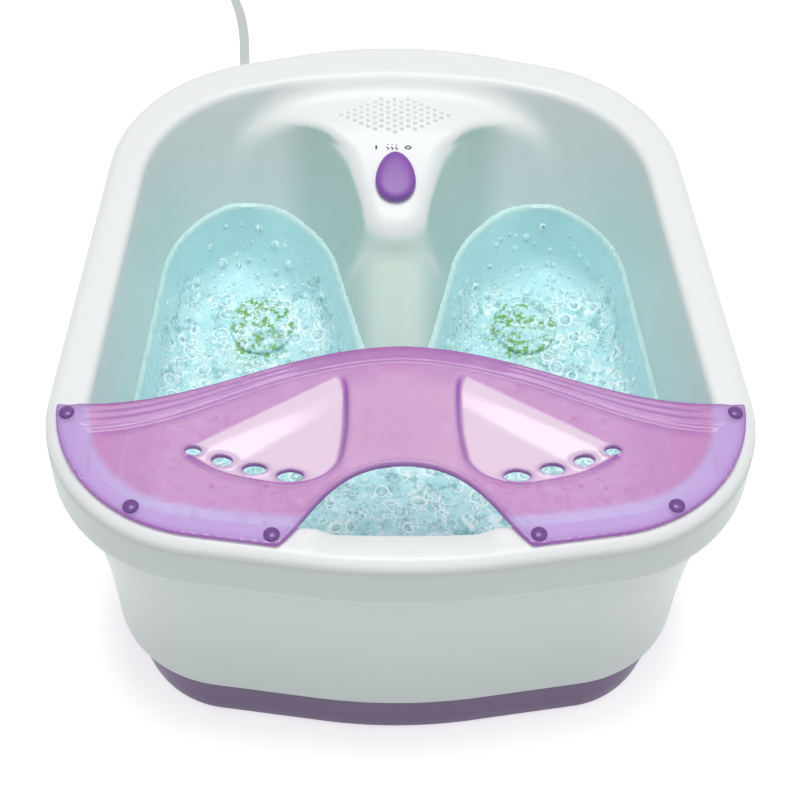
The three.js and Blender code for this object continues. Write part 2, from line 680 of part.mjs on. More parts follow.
const heaterPlate = () => roundedPlate(0, -120, 96, 44, 6, 55.8, FLOOR_TOP - WALL - GAP);
const thermostat = () => post(-22, -120, 47.5, 55.5, 9);
const thermalFuse = () => roundedPlate(22, -120, 24, 8, 3.5, 50, 55.5);

function terminalBlock() {
  let block = box(-104, -72, 126, 142, BASE_FLOOR + GAP, 19);
  for (const x of [-98, -88, -78]) {
    block = block.subtract(post(x, 134, 14, 22, 2.4, 2.4, 6));
  }
  return block;
}

const switchLead = () => wire([
  [0, 113, 137], [-3, 119, 122], [-20, 124, 90], [-48, 127, 55], [-74, 130, 30], [-78, 132.5, 20],
], 2);
const motorLead = () => wire([
  [-88, 125.4, 13], [-87.6, 121, 12.6], [-60, 104, 10], [-38, 92, 9], [-33, 84, 13], [-28, 78, 20],
  [-21.8, 78, 26],
], 1.8);
const heaterLead = () => wire([
  [-98, 125.4, 13], [-98.2, 121, 12.6], [-100, 108, 10], [-98, 88, 9], [-58, 40, 9], [-50, -20, 9],
  [-40, -80, 12],
  [-33, -104, 26], [-30, -110, 40], [-26, -114, 46],
], 1.8);

// ---------------------------------------------------------------- power cord

// The tapered grommet that holds the cord in the base's back wall.
function strainRelief() {
  const oval = (halfWidth, halfHeight, y) => Array.from({ length: 12 }, (_, i) => {
    const angle = ((i + 0.5) / 12) * Math.PI * 2;
    return new THREE.Vector3(EXIT.x - halfWidth * Math.cos(angle), y, EXIT.z + halfHeight * Math.sin(angle));
  });
  return skin([
    oval(6.3, 4.4, 146), oval(6.3, 4.4, 171), oval(6.1, 4.2, 174), oval(5, 3.3, 188), oval(4.7, 3, EXIT.y),
  ]);
}

const powerCord = () => flatTube(CORD_ROUTE, CORD.width / 2, CORD.thick / 2, 26);
const cordTail = () => flatTube(TAIL_ROUTE, CORD.width / 2, CORD.thick / 2, 8);

// The outer shape of the wound turns.
function cordCoil() {
  const { x, y, radius, bundle, height, bottom } = COIL;
  const [inner, outer, top] = [radius - bundle / 2, radius + bundle / 2, bottom + height];
  const profile = [
    [inner, bottom], [outer, bottom], [outer, top - 3], [outer - 3, top], [inner + 3, top], [inner, top - 3],
    [inner, bottom],
  ].map((p) => new THREE.Vector2(...p));
  const geometry = new THREE.LatheGeometry(profile, 28);
  geometry.rotateX(Math.PI / 2);
  geometry.translate(x, y, 0);
  return solidOf(geometry);
}

// A strap around the bundle of turns, on the side away from the basin.
function coilTie() {
  const { x, y, radius, bundle, height, bottom } = COIL;
  const strap = 1.1;
  const [inner, outer] = [x + radius - bundle / 2 - 1, x + radius + bundle / 2 + GAP];
  const [low, high] = [bottom - GAP, bottom + height + GAP];
  const halfWidth = 5;
  return box(inner - strap, outer + strap, y - halfWidth, y + halfWidth, low - strap, high + strap)
    .subtract(box(inner, outer, y - halfWidth - 1, y + halfWidth + 1, low, high));
}

// ---------------------------------------------------------------- plug and small parts

function plugBody() {
  const flat = (halfWidth, halfHeight, y) => Array.from({ length: 12 }, (_, i) => {
    const angle = ((i + 0.5) / 12) * Math.PI * 2;
    const squared = (v) => Math.sign(v) * Math.abs(v) ** 0.6;
    return new THREE.Vector3(-halfWidth * squared(Math.cos(angle)), y, halfHeight * squared(Math.sin(angle)));
  });
  const body = skin([
    flat(4.6, 3, 0.3), flat(5.4, 3.8, 10), flat(8, 6, 15), flat(12, 9, 21), flat(12.5, 9.4, 36),
    flat(11.5, 8.6, 39),
  ]);
  return body.subtract(bladeSlot(1)).subtract(bladeSlot(-1));
}

const bladeSlot = (side) => box(side * 6.35 - 1.1, side * 6.35 + 1.1, 29.5, 45, -3.6, 3.6);
const plugBlade = (side) => box(side * 6.35 - 0.8, side * 6.35 + 0.8, 30, 55, -3.2, 3.2);

function rubberFoot(x, y) {
  return post(x, y, 0, BASE_BOTTOM - GAP, 8, 9, 10).add(post(x, y, 1, 8, 2.9, 2.6, 8));
}

function baseScrew(x, y) {
  return post(x, y, 1.2, BASE_BOTTOM + 0.6, 3.2, 3.2, 8).add(post(x, y, 2, 18, 2, 1.6, 8));
}

// ---------------------------------------------------------------- assembly

const materials = {
  whiteGloss: new THREE.MeshStandardMaterial({ color: 0xf2f5f3, roughness: 0.25, metalness: 0 }),
  purpleBase: new THREE.MeshStandardMaterial({ color: 0x9a7fb0, roughness: 0.4, metalness: 0 }),
  purpleKnob: new THREE.MeshStandardMaterial({ color: 0x9a63b8, roughness: 0.35, metalness: 0 }),
  purpleClear: new THREE.MeshStandardMaterial({
    color: 0xb98ad0, roughness: 0.12, metalness: 0, transparent: true, opacity: 0.6,
  }),
  aqua: new THREE.MeshStandardMaterial({ color: 0x9fdde2, roughness: 0.3, metalness: 0 }),
  green: new THREE.MeshStandardMaterial({ color: 0x4fa83c, roughness: 0.6, metalness: 0 }),
  rubber: new THREE.MeshStandardMaterial({ color: 0x2b2b2e, roughness: 0.85, metalness: 0 }),
  greyPlastic: new THREE.MeshStandardMaterial({ color: 0x8b9094, roughness: 0.5, metalness: 0 }),
  blackPlastic: new THREE.MeshStandardMaterial({ color: 0x1f2124, roughness: 0.5, metalness: 0 }),
  steel: new THREE.MeshStandardMaterial({ color: 0xb9bdc2, roughness: 0.35, metalness: 1 }),
  copper: new THREE.MeshStandardMaterial({ color: 0xb87333, roughness: 0.4, metalness: 1 }),
  brass: new THREE.MeshStandardMaterial({ color: 0xc9a227, roughness: 0.35, metalness: 1 }),
  cordGrey: new THREE.MeshStandardMaterial({ color: 0xb9bdc0, roughness: 0.55, metalness: 0 }),
};

function piece(parent, name, solid, material) {
  const mesh = new THREE.Mesh(geometryOf(solid), materials[material]);
  mesh.name = name;
  parent.add(mesh);
}

const footSpa = new THREE.Group();
const sides = [['left', -1], ['right', 1]];

piece(footSpa, 'basin_shell', basinShell(), 'whiteGloss');
piece(footSpa, 'outer_shell', outerShell(), 'whiteGloss');
piece(footSpa, 'base_pan', basePan(), 'purpleBase');
piece(footSpa, 'foot_bed', footBed(), 'aqua');
piece(footSpa, 'splash_guard', splashGuard(), 'purpleClear');
for (const [name, side] of sides) {
  piece(footSpa, `massage_pad_${name}`, massagePad(side), 'green');
  piece(footSpa, `air_hose_${name}`, airHose(side), 'greyPlastic');
  piece(footSpa, `air_manifold_${name}`, airManifold(side), 'greyPlastic');
  PEG_PLACES.forEach(([x, y], i) => {
    piece(footSpa, `guard_peg_${name}_${i + 1}`, guardPeg(side * x, y), 'purpleKnob');
  });
}

const selector = new THREE.Group();
selector.position.set(0, KNOB.y, KNOB.z);
selector.rotation.x = THREE.MathUtils.degToRad(KNOB.slope);
footSpa.add(selector);
piece(selector, 'selector_knob', knob(), 'purpleKnob');
piece(selector, 'knob_shaft', knobShaft(), 'steel');
piece(selector, 'shaft_seal', shaftSeal(), 'rubber');
piece(selector, 'rotary_switch', rotarySwitch(), 'blackPlastic');

piece(footSpa, 'motor_can', motorCan(), 'steel');
piece(footSpa, 'motor_end_cap', motorEndCap(), 'steel');
piece(footSpa, 'motor_armature', motorArmature(), 'copper');
piece(footSpa, 'motor_shaft', motorShaft(), 'steel');
piece(footSpa, 'eccentric_weight', eccentricWeight(), 'steel');
piece(footSpa, 'motor_bracket', motorBracket(), 'blackPlastic');
piece(footSpa, 'blower_housing', blowerHousing(), 'greyPlastic');
piece(footSpa, 'blower_cover', blowerCover(), 'greyPlastic');
piece(footSpa, 'impeller', impeller(), 'greyPlastic');
for (const [name, side] of sides) {
  piece(footSpa, `motor_grommet_${name}`, post(side * 25, 77, BASE_FLOOR + GAP, 7.7, 4.5), 'rubber');
}

piece(footSpa, 'heater_plate', heaterPlate(), 'steel');
piece(footSpa, 'thermostat', thermostat(), 'blackPlastic');
piece(footSpa, 'thermal_fuse', thermalFuse(), 'greyPlastic');
piece(footSpa, 'terminal_block', terminalBlock(), 'blackPlastic');
piece(footSpa, 'switch_lead', switchLead(), 'rubber');
piece(footSpa, 'motor_lead', motorLead(), 'rubber');
piece(footSpa, 'heater_lead', heaterLead(), 'rubber');

screwPlaces.forEach(([x, y], i) => piece(footSpa, `base_screw_${i + 1}`, baseScrew(x, y), 'steel'));
footPlaces.forEach(([x, y], i) => piece(footSpa, `rubber_foot_${i + 1}`, rubberFoot(x, y), 'rubber'));

piece(footSpa, 'strain_relief', strainRelief(), 'cordGrey');
piece(footSpa, 'power_cord', powerCord(), 'cordGrey');
piece(footSpa, 'cord_coil', cordCoil(), 'cordGrey');
piece(footSpa, 'cord_tail', cordTail(), 'cordGrey');
piece(footSpa, 'coil_tie', coilTie(), 'rubber');

const plug = new THREE.Group();
plug.position.set(PLUG.x, PLUG.y, PLUG.z);
plug.rotation.z = THREE.MathUtils.degToRad(-90 + PLUG.turn);
footSpa.add(plug);
piece(plug, 'plug_body', plugBody(), 'cordGrey');
for (const [name, side] of sides) {
  piece(plug, `plug_blade_${name}`, plugBlade(side), 'brass');
}

export default footSpa;
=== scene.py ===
"""Foot spa basin: fine surfaces, materials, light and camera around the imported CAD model.

Shapes are worked out in millimetres in the CAD frame (+Z up, +Y to the heel end) and turned into
metres when a mesh is made. Moulded housings are signed distance fields: rounded joins of plan
outlines and height profiles, meshed by surface nets.
"""

import math

import bpy
import numpy as np
from mathutils import Matrix, Vector


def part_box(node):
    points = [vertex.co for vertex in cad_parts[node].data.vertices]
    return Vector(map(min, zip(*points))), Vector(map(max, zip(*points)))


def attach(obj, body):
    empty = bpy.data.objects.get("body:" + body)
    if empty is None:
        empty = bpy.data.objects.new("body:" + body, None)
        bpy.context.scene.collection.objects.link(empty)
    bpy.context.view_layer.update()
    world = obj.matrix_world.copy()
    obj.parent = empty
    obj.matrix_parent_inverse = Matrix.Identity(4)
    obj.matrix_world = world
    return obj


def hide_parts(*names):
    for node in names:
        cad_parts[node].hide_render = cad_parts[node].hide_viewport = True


MM = 0.001
WALL = 2.5
BACKED_WALL = 4.5  # wall of the meshed fields: more than the diagonal of a 2 mm cell
GAP = 0.3
RIM_TOP = 185
LIP_BOTTOM = 153
LIP_ROUND = 1.7
FLOOR_TOP = 62
BED_TOP = 110
SEED = 11
WHITE = (0.93, 0.95, 0.94)
PAINTED_WALL_SHADE = (0.53, 0.59, 0.575)  # the casing stands in shade in the photograph
RUBBER_BLACK = (0.03, 0.03, 0.032)

RIM_PLAN = dict(front=(-202, 321), front_corner=(190, -176.5, 92),
                back_corner=(163, 166, 102), back=(202, 239))
OPENING_PLAN = dict(front=(-177.5, 620), front_corner=(166, -158, 62),
                    back_corner=(143, 140, 86), back=(171, 257))
FLOOR_PLAN = dict(front=(-163, 620), front_corner=(158.5, -146, 56),
                  back_corner=(136, 120, 74), back=(151, 257))
OPENING_HEIGHT = 181
CURVE_HEIGHT = 80

CONSOLE_FOOT_Z = 60
CONSOLE_FOOT = [(0, -49.6), (15.6, -46.6), (23.5, -34.7), (26.5, 8), (33.7, 35), (43, 62),
                (46.8, 73), (48.9, 82), (51.5, 92), (57, 96), (66, 101), (74.5, 106), (84, 114),
                (91.5, 124), (96, 132)]
CONSOLE_LOW_Z = 110
CONSOLE_LOW = [(0, -46), (12, -43), (19, -32), (22, 8), (26, 35), (31.8, 62), (34.8, 75),
               (36.6, 83), (41.5, 95), (47, 105), (57.5, 118), (67, 127.5), (76, 132.5),
               (85.5, 136), (96, 140)]
CONSOLE_HIGH_Z = 165
CONSOLE_HIGH = [(0, -41), (4, -38), (5, -27), (5, 8), (5, 35), (5, 62), (6.5, 75), (12.8, 83),
                (17.4, 95), (21.6, 105), (28, 119), (36.5, 128), (47, 137), (66, 143), (96, 149)]
CONSOLE_BACK = 190
CONSOLE_PROFILE = [(-45, 50), (-39, 62), (-34, 80), (-24, 98), (-9, 112), (6, 121), (30, 129),
                   (58, 136), (66, 142), (75, 150), (87, 155), (105, 160.5), (122, 166), (135, 171),
                   (150, 175), (168, 178), (CONSOLE_BACK, 178)]
WING_PROFILE = [(0, 181), (30, 181), (45, 179), (66, 171), (83, 159), (92, 146), (98, 128),
                (104, 100)]

KNOB = dict(y=103, z=159.8, slope=17, length=34, width=24, height=6.5)
GUARD_BOTTOM = RIM_TOP + GAP
PEG_PLACES = [(171, -107), (133.5, -167), (64.5, -184)]
TOE_HOLES = [(56.7, -144.6, 6.6, 3.7), (74.6, -140.4, 5.9, 3.4), (90.9, -136, 5, 3),
             (105.5, -131.4, 4, 2.6)]
PAD = dict(x=83, y=70, half_width=20, half_length=24)
SCREW_PLACES = [(112, 92), (-112, 92), (128, -118), (-128, -118)]
FOOT_PLACES = [(88, 112), (-88, 112), (104, -132), (-104, -132)]
SIDES = (("left", -1), ("right", 1))
BUBBLE_HOLES = [(side * x, -84 + row * 26) for side in (1, -1) for x in (76, 108)
                for row in range(5)]
JETS = [(x, y, 50, 72, 1.6) for x, y in BUBBLE_HOLES]

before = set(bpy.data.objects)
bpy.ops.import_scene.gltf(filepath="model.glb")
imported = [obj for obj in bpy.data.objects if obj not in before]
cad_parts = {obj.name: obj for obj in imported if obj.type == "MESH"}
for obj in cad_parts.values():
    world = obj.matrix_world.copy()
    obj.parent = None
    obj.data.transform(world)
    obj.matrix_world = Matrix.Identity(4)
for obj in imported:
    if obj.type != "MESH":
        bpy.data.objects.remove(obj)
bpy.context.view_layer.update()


# ---------------------------------------------------------------- camera, floor and light

def add_camera():
    """The viewing angle: from the toe end, 49 degrees up, a little to the left, slightly rolled."""
    place = Vector((-0.0244, -0.6772, 0.8556))
    target = Vector((0.0018, -0.0220, 0.1000))
    roll = math.radians(1.756)
    back = (place - target).normalized()
    right = Vector((0, 0, 1)).cross(back).normalized()
    up = back.cross(right)
    x_axis = right * math.cos(roll) + up * math.sin(roll)
    y_axis = up * math.cos(roll) - right * math.sin(roll)
    data = bpy.data.cameras.new("camera")
    data.sensor_width = 36
    data.lens = 77.3
    data.clip_start = 0.01
    camera = bpy.data.objects.new("camera", data)
    matrix = Matrix((x_axis, y_axis, back)).transposed().to_4x4()
    matrix.translation = place
    camera.matrix_world = matrix
    bpy.context.scene.collection.objects.link(camera)
    bpy.context.scene.camera = camera


def add_area_light(name, place, size, power):
    """A round lamp aimed at the middle of the basin."""
    data = bpy.data.lights.new(name, "AREA")
    data.shape = "DISK"
    data.size = size
    data.energy = power
    light = bpy.data.objects.new(name, data)
    light.location = place
    light.rotation_euler = (Vector((0, 0, 0.1)) - Vector(place)).to_track_quat("-Z", "Y").to_euler()
    bpy.context.scene.collection.objects.link(light)


def add_stage():
    world = bpy.data.worlds.new("studio")
    world.use_nodes = True
    background = world.node_tree.nodes["Background"]
    background.inputs["Color"].default_value = (0.97, 0.985, 1, 1)
    background.inputs["Strength"].default_value = 0.34
    bpy.context.scene.world = world
    bpy.context.scene.view_settings.view_transform = "Standard"
    floor = bpy.data.objects.new("floor", bpy.data.meshes.new("floor"))
    reach = 6
    corners = [(-reach, -reach, 0), (reach, -reach, 0), (reach, reach, 0), (-reach, reach, 0)]
    floor.data.from_pydata(corners, [], [(0, 1, 2, 3)])
    bpy.context.scene.collection.objects.link(floor)
    paper, _, shader = new_material("floor_white")
    shader.inputs["Base Color"].default_value = (0.93, 0.93, 0.93, 1)
    shader.inputs["Roughness"].default_value = 0.9
    shader.inputs["Emission Color"].default_value = (1, 1, 1, 1)
    shader.inputs["Emission Strength"].default_value = 0.56
    floor.data.materials.append(paper)
    add_area_light("top", (0.0, 0.15, 2.1), 1.1, 20.5)
    add_area_light("front", (-0.25, -1.2, 1.7), 1.2, 3)
    add_area_light("fill", (1.0, -0.2, 1.7), 1.2, 2)


# ---------------------------------------------------------------- materials

def new_material(name):
    material = bpy.data.materials.new(name)
    material.use_nodes = True
    return material, material.node_tree, material.node_tree.nodes["Principled BSDF"]


def noise_node(tree, scale, detail, roughness):
    """A noise texture on object coordinates, with those coordinates."""
    coords = tree.nodes.new("ShaderNodeTexCoord").outputs["Object"]
    noise = tree.nodes.new("ShaderNodeTexNoise")
    noise.inputs["Scale"].default_value = scale
    noise.inputs["Detail"].default_value = detail
    noise.inputs["Roughness"].default_value = roughness
    tree.links.new(coords, noise.inputs["Vector"])
    return noise, coords


def add_noise(tree, scale, detail=4, roughness=0.55):
    return noise_node(tree, scale, detail, roughness)[0].outputs["Fac"]


def add_range(tree, value, low, high, start=0, end=1):
    """Maps start..end to low..high, and keeps within them."""
    node = tree.nodes.new("ShaderNodeMapRange")
    for name, level in (("From Min", start), ("From Max", end), ("To Min", low), ("To Max", high)):
        node.inputs[name].default_value = level
    tree.links.new(value, node.inputs["Value"])
    return node.outputs["Result"]


def add_bump(tree, shader, height, strength, distance):
    bump = tree.nodes.new("ShaderNodeBump")
    bump.inputs["Strength"].default_value = strength
    bump.inputs["Distance"].default_value = distance
    tree.links.new(height, bump.inputs["Height"])
    tree.links.new(bump.outputs["Normal"], shader.inputs["Normal"])


def attribute_of(tree, name):
    node = tree.nodes.new("ShaderNodeAttribute")
    node.attribute_name = name
    return node.outputs["Fac"]


def add_mix(tree, value, first, second):
    """Blends two colours, or a colour and another mix, by a value."""
    mix = tree.nodes.new("ShaderNodeMix")
    mix.data_type = "RGBA"
    tree.links.new(value, mix.inputs["Factor"])
    for socket, colour in (("A", first), ("B", second)):
        if isinstance(colour, tuple):
            mix.inputs[socket].default_value = (*colour, 1)
        else:
            tree.links.new(colour, mix.inputs[socket])
    return mix.outputs["Result"]


def add_tint(tree, shader, value, colour, darkening):
    """Colours a shader by a value, from somewhat darker up to the colour itself."""
    dark = tuple(c * (1 - darkening) for c in colour)
    tree.links.new(add_mix(tree, value, dark, colour), shader.inputs["Base Color"])


def plastic(name, colour, roughness, specular=0.5, grain=900, grain_strength=0.06):
    """Moulded plastic: slight tone drift, fine moulding texture and uneven gloss."""
    material, tree, shader = new_material(name)
    add_tint(tree, shader, add_noise(tree, 9, 3), colour, 0.04)
    uneven = add_range(tree, add_noise(tree, 60), roughness * 0.85, roughness * 1.15)
    tree.links.new(uneven, shader.inputs["Roughness"])
    shader.inputs["Specular IOR Level"].default_value = specular
    add_bump(tree, shader, add_noise(tree, grain, 2), grain_strength, 0.0002)
    return material


def gloss(name, colour, roughness):
    """Smooth moulded plastic, even in tone."""
    material, _, shader = new_material(name)
    shader.inputs["Base Color"].default_value = (*colour, 1)
    shader.inputs["Roughness"].default_value = roughness
    shader.inputs["Specular IOR Level"].default_value = 0.35
    return material


def metal(name, colour, roughness):
    """Metal with a fine, uneven sheen."""
    material, tree, shader = new_material(name)
    shader.inputs["Metallic"].default_value = 1
    add_tint(tree, shader, add_noise(tree, 30), colour, 0.15)
    uneven = add_range(tree, add_noise(tree, 400), roughness * 0.7, roughness * 1.3)
    tree.links.new(uneven, shader.inputs["Roughness"])
    add_bump(tree, shader, add_noise(tree, 800, 2), 0.08, 0.0001)
    return material


# ---------------------------------------------------------------- meshes

def mesh_object(name, points, faces, material, body, smooth_angle=40):
    """A piece made of points in millimetres."""
    mesh = bpy.data.meshes.new(name)
    metres = (np.asarray(points, float) * MM).tolist()
    mesh.from_pydata(metres, [], [list(map(int, f)) for f in faces])
    mesh.validate()
    mesh.materials.append(material)
    piece = bpy.data.objects.new(name, mesh)
    bpy.context.scene.collection.objects.link(piece)
    mesh.polygons.foreach_set("use_smooth", [True] * len(mesh.polygons))
    mesh.set_sharp_from_angle(angle=math.radians(smooth_angle))
    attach(piece, body)
    return piece


def skin_faces(rings, count, hoop=False):
    """Quads between rings of the same number of points, with end caps or joined up as a hoop."""
    faces = []
    for r in range(rings - 1):
        for i in range(count):
            j = (i + 1) % count
            faces.append((r * count + i, r * count + j, (r + 1) * count + j, (r + 1) * count + i))
    last = (rings - 1) * count
    if hoop:
        faces += [(last + i, last + (i + 1) % count, (i + 1) % count, i) for i in range(count)]
    else:
        faces += [tuple(reversed(range(count))), tuple(range(last, last + count))]
    return faces


def add_part(points, faces, part_points, part_faces):
    """Adds one closed form to the lists of a piece that is made of several."""
    base = len(points)
    points.extend(part_points)
    faces.extend(tuple(base + k for k in face) for face in part_faces)


def circle_points(count):
    angles = 2 * math.pi * np.arange(count) / count
    return np.column_stack([np.cos(angles), np.sin(angles)])


def squared(value, power):
    """Raises to a power and keeps the sign, which turns a circle into a rounded square."""
    return np.copysign(np.abs(value) ** power, value)


# ---------------------------------------------------------------- plan outlines

def spline(points, steps=12):
    """A smooth curve through the points."""
    p = np.asarray(points, float)
    padded = np.vstack([2 * p[0] - p[1], p, 2 * p[-1] - p[-2]])
    out = []
    for i in range(1, len(p)):
        a, b, c, d = padded[i - 1], padded[i], padded[i + 1], padded[i + 2]
        for t in np.arange(steps) / steps:
            out.append(0.5 * (2 * b + (c - a) * t + (2 * a - 5 * b + 4 * c - d) * t ** 2
                              + (3 * b - a - 3 * c + d) * t ** 3))
    out.append(p[-1])
    return np.array(out)


def bezier(a, b, c, d, steps=24):
    t = np.linspace(0, 1, steps + 1)[:, None]
    a, b, c, d = (np.asarray(p, float) for p in (a, b, c, d))
    return a * (1 - t) ** 3 + 3 * b * t * (1 - t) ** 2 + 3 * c * t ** 2 * (1 - t) + d * t ** 3


def round_corner(before, corner, after, radius, steps=36):
    to_before = (before - corner) / np.linalg.norm(before - corner)
    to_after = (after - corner) / np.linalg.norm(after - corner)
    half_angle = math.acos(float(to_before @ to_after)) / 2
    bisector = (to_before + to_after) / np.linalg.norm(to_before + to_after)
    centre = corner + bisector * radius / math.sin(half_angle)
    start = corner + to_before * radius / math.tan(half_angle) - centre
    angles = (math.pi - 2 * half_angle) * np.arange(steps + 1) / steps
    c, s = np.cos(angles), np.sin(angles)
    return centre + np.column_stack([start[0] * c - start[1] * s, start[0] * s + start[1] * c])


def end_arc(end, corner, steps=30):
    """From the middle of an end to where it touches the tangent to the corner."""
    y, radius = end
    side = math.copysign(1, y)
    centre = np.array([0, y - side * radius])
    to_corner = np.array(corner) - centre
    swing = math.acos(radius / np.linalg.norm(to_corner))
    limit = math.atan2(to_corner[1], to_corner[0]) + side * swing
    angles = np.linspace(side * math.pi / 2, limit, steps + 1)
    return centre + radius * np.column_stack([np.cos(angles), np.sin(angles)])


def mirrored(right):
    """Closes a half outline, given from -Y to +Y on the +X side, with its mirror image."""
    right = np.asarray(right, float)
    return np.vstack([right, (right[1:-1] * (-1, 1))[::-1]])


def plan_loop(plan):
    front_corner = np.array(plan["front_corner"][:2])
    back_corner = np.array(plan["back_corner"][:2])
    front = end_arc(plan["front"], front_corner)
    back = end_arc(plan["back"], back_corner)[::-1]
    return mirrored(np.vstack([
        front,
        round_corner(front[-1], front_corner, back_corner, plan["front_corner"][2]),
        round_corner(front_corner, back_corner, back[0], plan["back_corner"][2]),
        back]))


def even_loop(loop, count):
    """The same closed outline with evenly spaced points."""
    closed = np.vstack([loop, loop[:1]])
    along = np.concatenate([[0], np.cumsum(np.linalg.norm(np.diff(closed, axis=0), axis=1))])
    at = np.linspace(0, along[-1], count, endpoint=False)
    return np.column_stack([np.interp(at, along, closed[:, k]) for k in (0, 1)])


def inset(loop, at_sides, at_ends=None):
    """The outline moved inwards, evenly or by one distance at its sides and another at its ends."""
    along = np.roll(loop, -1, 0) - np.roll(loop, 1, 0)
    along /= np.linalg.norm(along, axis=1)[:, None]
    at_ends = at_sides if at_ends is None else at_ends
    distance = at_sides + (at_ends - at_sides) * along[:, :1] ** 2
    return loop + distance * np.column_stack([-along[:, 1], along[:, 0]])


# ---------------------------------------------------------------- distance fields

def smooth_step(value, low, high):
    """0 below low and 1 above high, with a smooth change between."""
    t = np.clip((value - low) / (high - low), 0, 1)
    return t * t * (3 - 2 * t)


class Outline:
    """Signed distance to a closed outline in a plane, negative inside, from a fine lattice.

    Softening averages the lattice a little, so the outline's short straight pieces don't show.
    """

    def __init__(self, loop, low, high, step=1.0, soften=5):
        self.low, self.step = np.array(low, float), step
        self.shape = shape = [int((h - l) / step) + 2 for l, h in zip(low, high)]
        u = self.low[0] + step * np.arange(shape[0])[:, None]
        v = self.low[1] + step * np.arange(shape[1])[None, :]
        nearest = np.full(shape, 1e9)
        inside = np.zeros(shape, bool)
        loop = np.asarray(loop, float)
        for a, b in zip(loop, np.roll(loop, -1, 0)):
            edge = b - a
            length2 = float(edge @ edge)
            if length2 < 1e-12:
                continue
            t = np.clip(((u - a[0]) * edge[0] + (v - a[1]) * edge[1]) / length2, 0, 1)
            to_edge = (u - a[0] - t * edge[0]) ** 2 + (v - a[1] - t * edge[1]) ** 2
            nearest = np.minimum(nearest, to_edge)
            if a[1] != b[1]:
                crosses = ((a[1] > v) != (b[1] > v)) & (u < edge[0] * (v - a[1]) / edge[1] + a[0])
                inside ^= crosses
        grid = np.where(inside, -np.sqrt(nearest), np.sqrt(nearest)).astype(np.float32)
        for _ in range(soften):
            for axis in (0, 1):
                grid = (2 * grid + np.roll(grid, 1, axis) + np.roll(grid, -1, axis)) / 4
        self.grid = grid

    def __call__(self, u, v):
        s = np.clip((u - self.low[0]) / self.step, 0, self.shape[0] - 1.001)
        t = np.clip((v - self.low[1]) / self.step, 0, self.shape[1] - 1.001)
        i, j = s.astype(np.int32), t.astype(np.int32)
        s, t = s - i, t - j
        g = self.grid
        return ((g[i, j] * (1 - s) + g[i + 1, j] * s) * (1 - t)
                + (g[i, j + 1] * (1 - s) + g[i + 1, j + 1] * s) * t)


def common(a, b, radius):
    """The space inside both fields, with its edge rounded."""
    return (np.minimum(np.maximum(a + radius, b + radius), 0) - radius
            + np.hypot(np.maximum(a + radius, 0), np.maximum(b + radius, 0)))


def blended(a, b, width):
    """The space inside both fields, blended where they are close, also where they nearly agree."""
    near = np.maximum(width - np.abs(a - b), 0) / width
    return np.maximum(a, b) + near * near * width / 4


def surface_net(field, low, high, step):
    """Meshes the zero surface of a field: one vertex per crossed cell, moved onto the surface."""
    axes = [np.arange(l, h + step, step) for l, h in zip(low, high)]
    shape = [len(a) for a in axes]
    values = np.empty(shape, np.float32)
    for i, x in enumerate(axes[0]):
        y, z = np.meshgrid(axes[1], axes[2], indexing="ij")
        values[i] = field(np.full_like(y, x), y, z)
    solid = values < 0
    total = np.zeros([n - 1 for n in shape] + [3], np.float32)
    count = np.zeros([n - 1 for n in shape], np.float32)
    crossings = []
    for axis in range(3):
        a = [slice(None)] * 3
        b = [slice(None)] * 3
        a[axis], b[axis] = slice(0, -1), slice(1, None)
        cross = solid[tuple(a)] != solid[tuple(b)]
        at = np.argwhere(cross)
        va, vb = values[tuple(a)][cross], values[tuple(b)][cross]
        point = at.astype(np.float32)
        point[:, axis] += va / (va - vb)
        others = [k for k in range(3) if k != axis]
        crossings.append((axis, at, solid[tuple(a)][cross], others))
        for du in (0, 1):
            for dv in (0, 1):
                cell = at.copy()
                cell[:, others[0]] -= du
                cell[:, others[1]] -= dv
                ok = np.all((cell >= 0) & (cell < np.array(count.shape)), axis=1)
                index = tuple(cell[ok].T)
                np.add.at(total, index, point[ok])
                np.add.at(count, index, 1)
    used = count > 0
    number = np.full(count.shape, -1, np.int64)
    number[used] = np.arange(used.sum())
    points = total[used] / count[used][:, None] * step + np.array(low)
    faces = []
    for axis, at, inside_first, (u, v) in crossings:
        corner = []
        for du, dv in ((1, 1), (0, 1), (0, 0), (1, 0)):
            cell = at.copy()
            cell[:, u] -= du
            cell[:, v] -= dv
            corner.append(number[tuple(np.clip(cell, 0, np.array(count.shape) - 1).T)])
        quad = np.column_stack(corner)
        flip = inside_first if axis != 1 else ~inside_first
        quad[~flip] = quad[~flip][:, ::-1]
        faces.append(quad)
    faces = np.vstack(faces)
    points = settle(field, points, step)
    for _ in range(2):
        points = settle(field, relax(points, faces), step, 2)
    return points, faces


def rise_of(field, x, y, z, h):
    """How much the field rises along each axis, from h before a point to h past it."""
    return np.column_stack([field(x + h, y, z) - field(x - h, y, z),
                            field(x, y + h, z) - field(x, y - h, z),
                            field(x, y, z + h) - field(x, y, z - h)])


def relax(points, faces):
    """Moves each point half way to the mean of its neighbours, which evens out the faces."""
    start = faces.ravel()
    total = np.zeros_like(points)
    for shift in (1, -1):
        end = np.roll(faces, shift, 1).ravel()
        for k in range(3):
            total[:, k] += np.bincount(start, points[end, k], len(points))
    count = 2 * np.bincount(start, minlength=len(points))
    return (points + total / np.maximum(count, 1)[:, None]) / 2


def settle(field, points, step, rounds=3):
    """Moves points onto the zero surface along the field's slope."""
    h = 0.05
    for _ in range(rounds):
        x, y, z = points.T
        value = field(x, y, z)
        slope = rise_of(field, x, y, z, h) / (2 * h)
        size2 = np.maximum((slope ** 2).sum(1), 0.05)
        move = -slope * (value / size2)[:, None]
        length = np.maximum(np.linalg.norm(move, axis=1), 1e-9)
        points = points + move * np.minimum(1, 0.5 * step / length)[:, None]
    return points


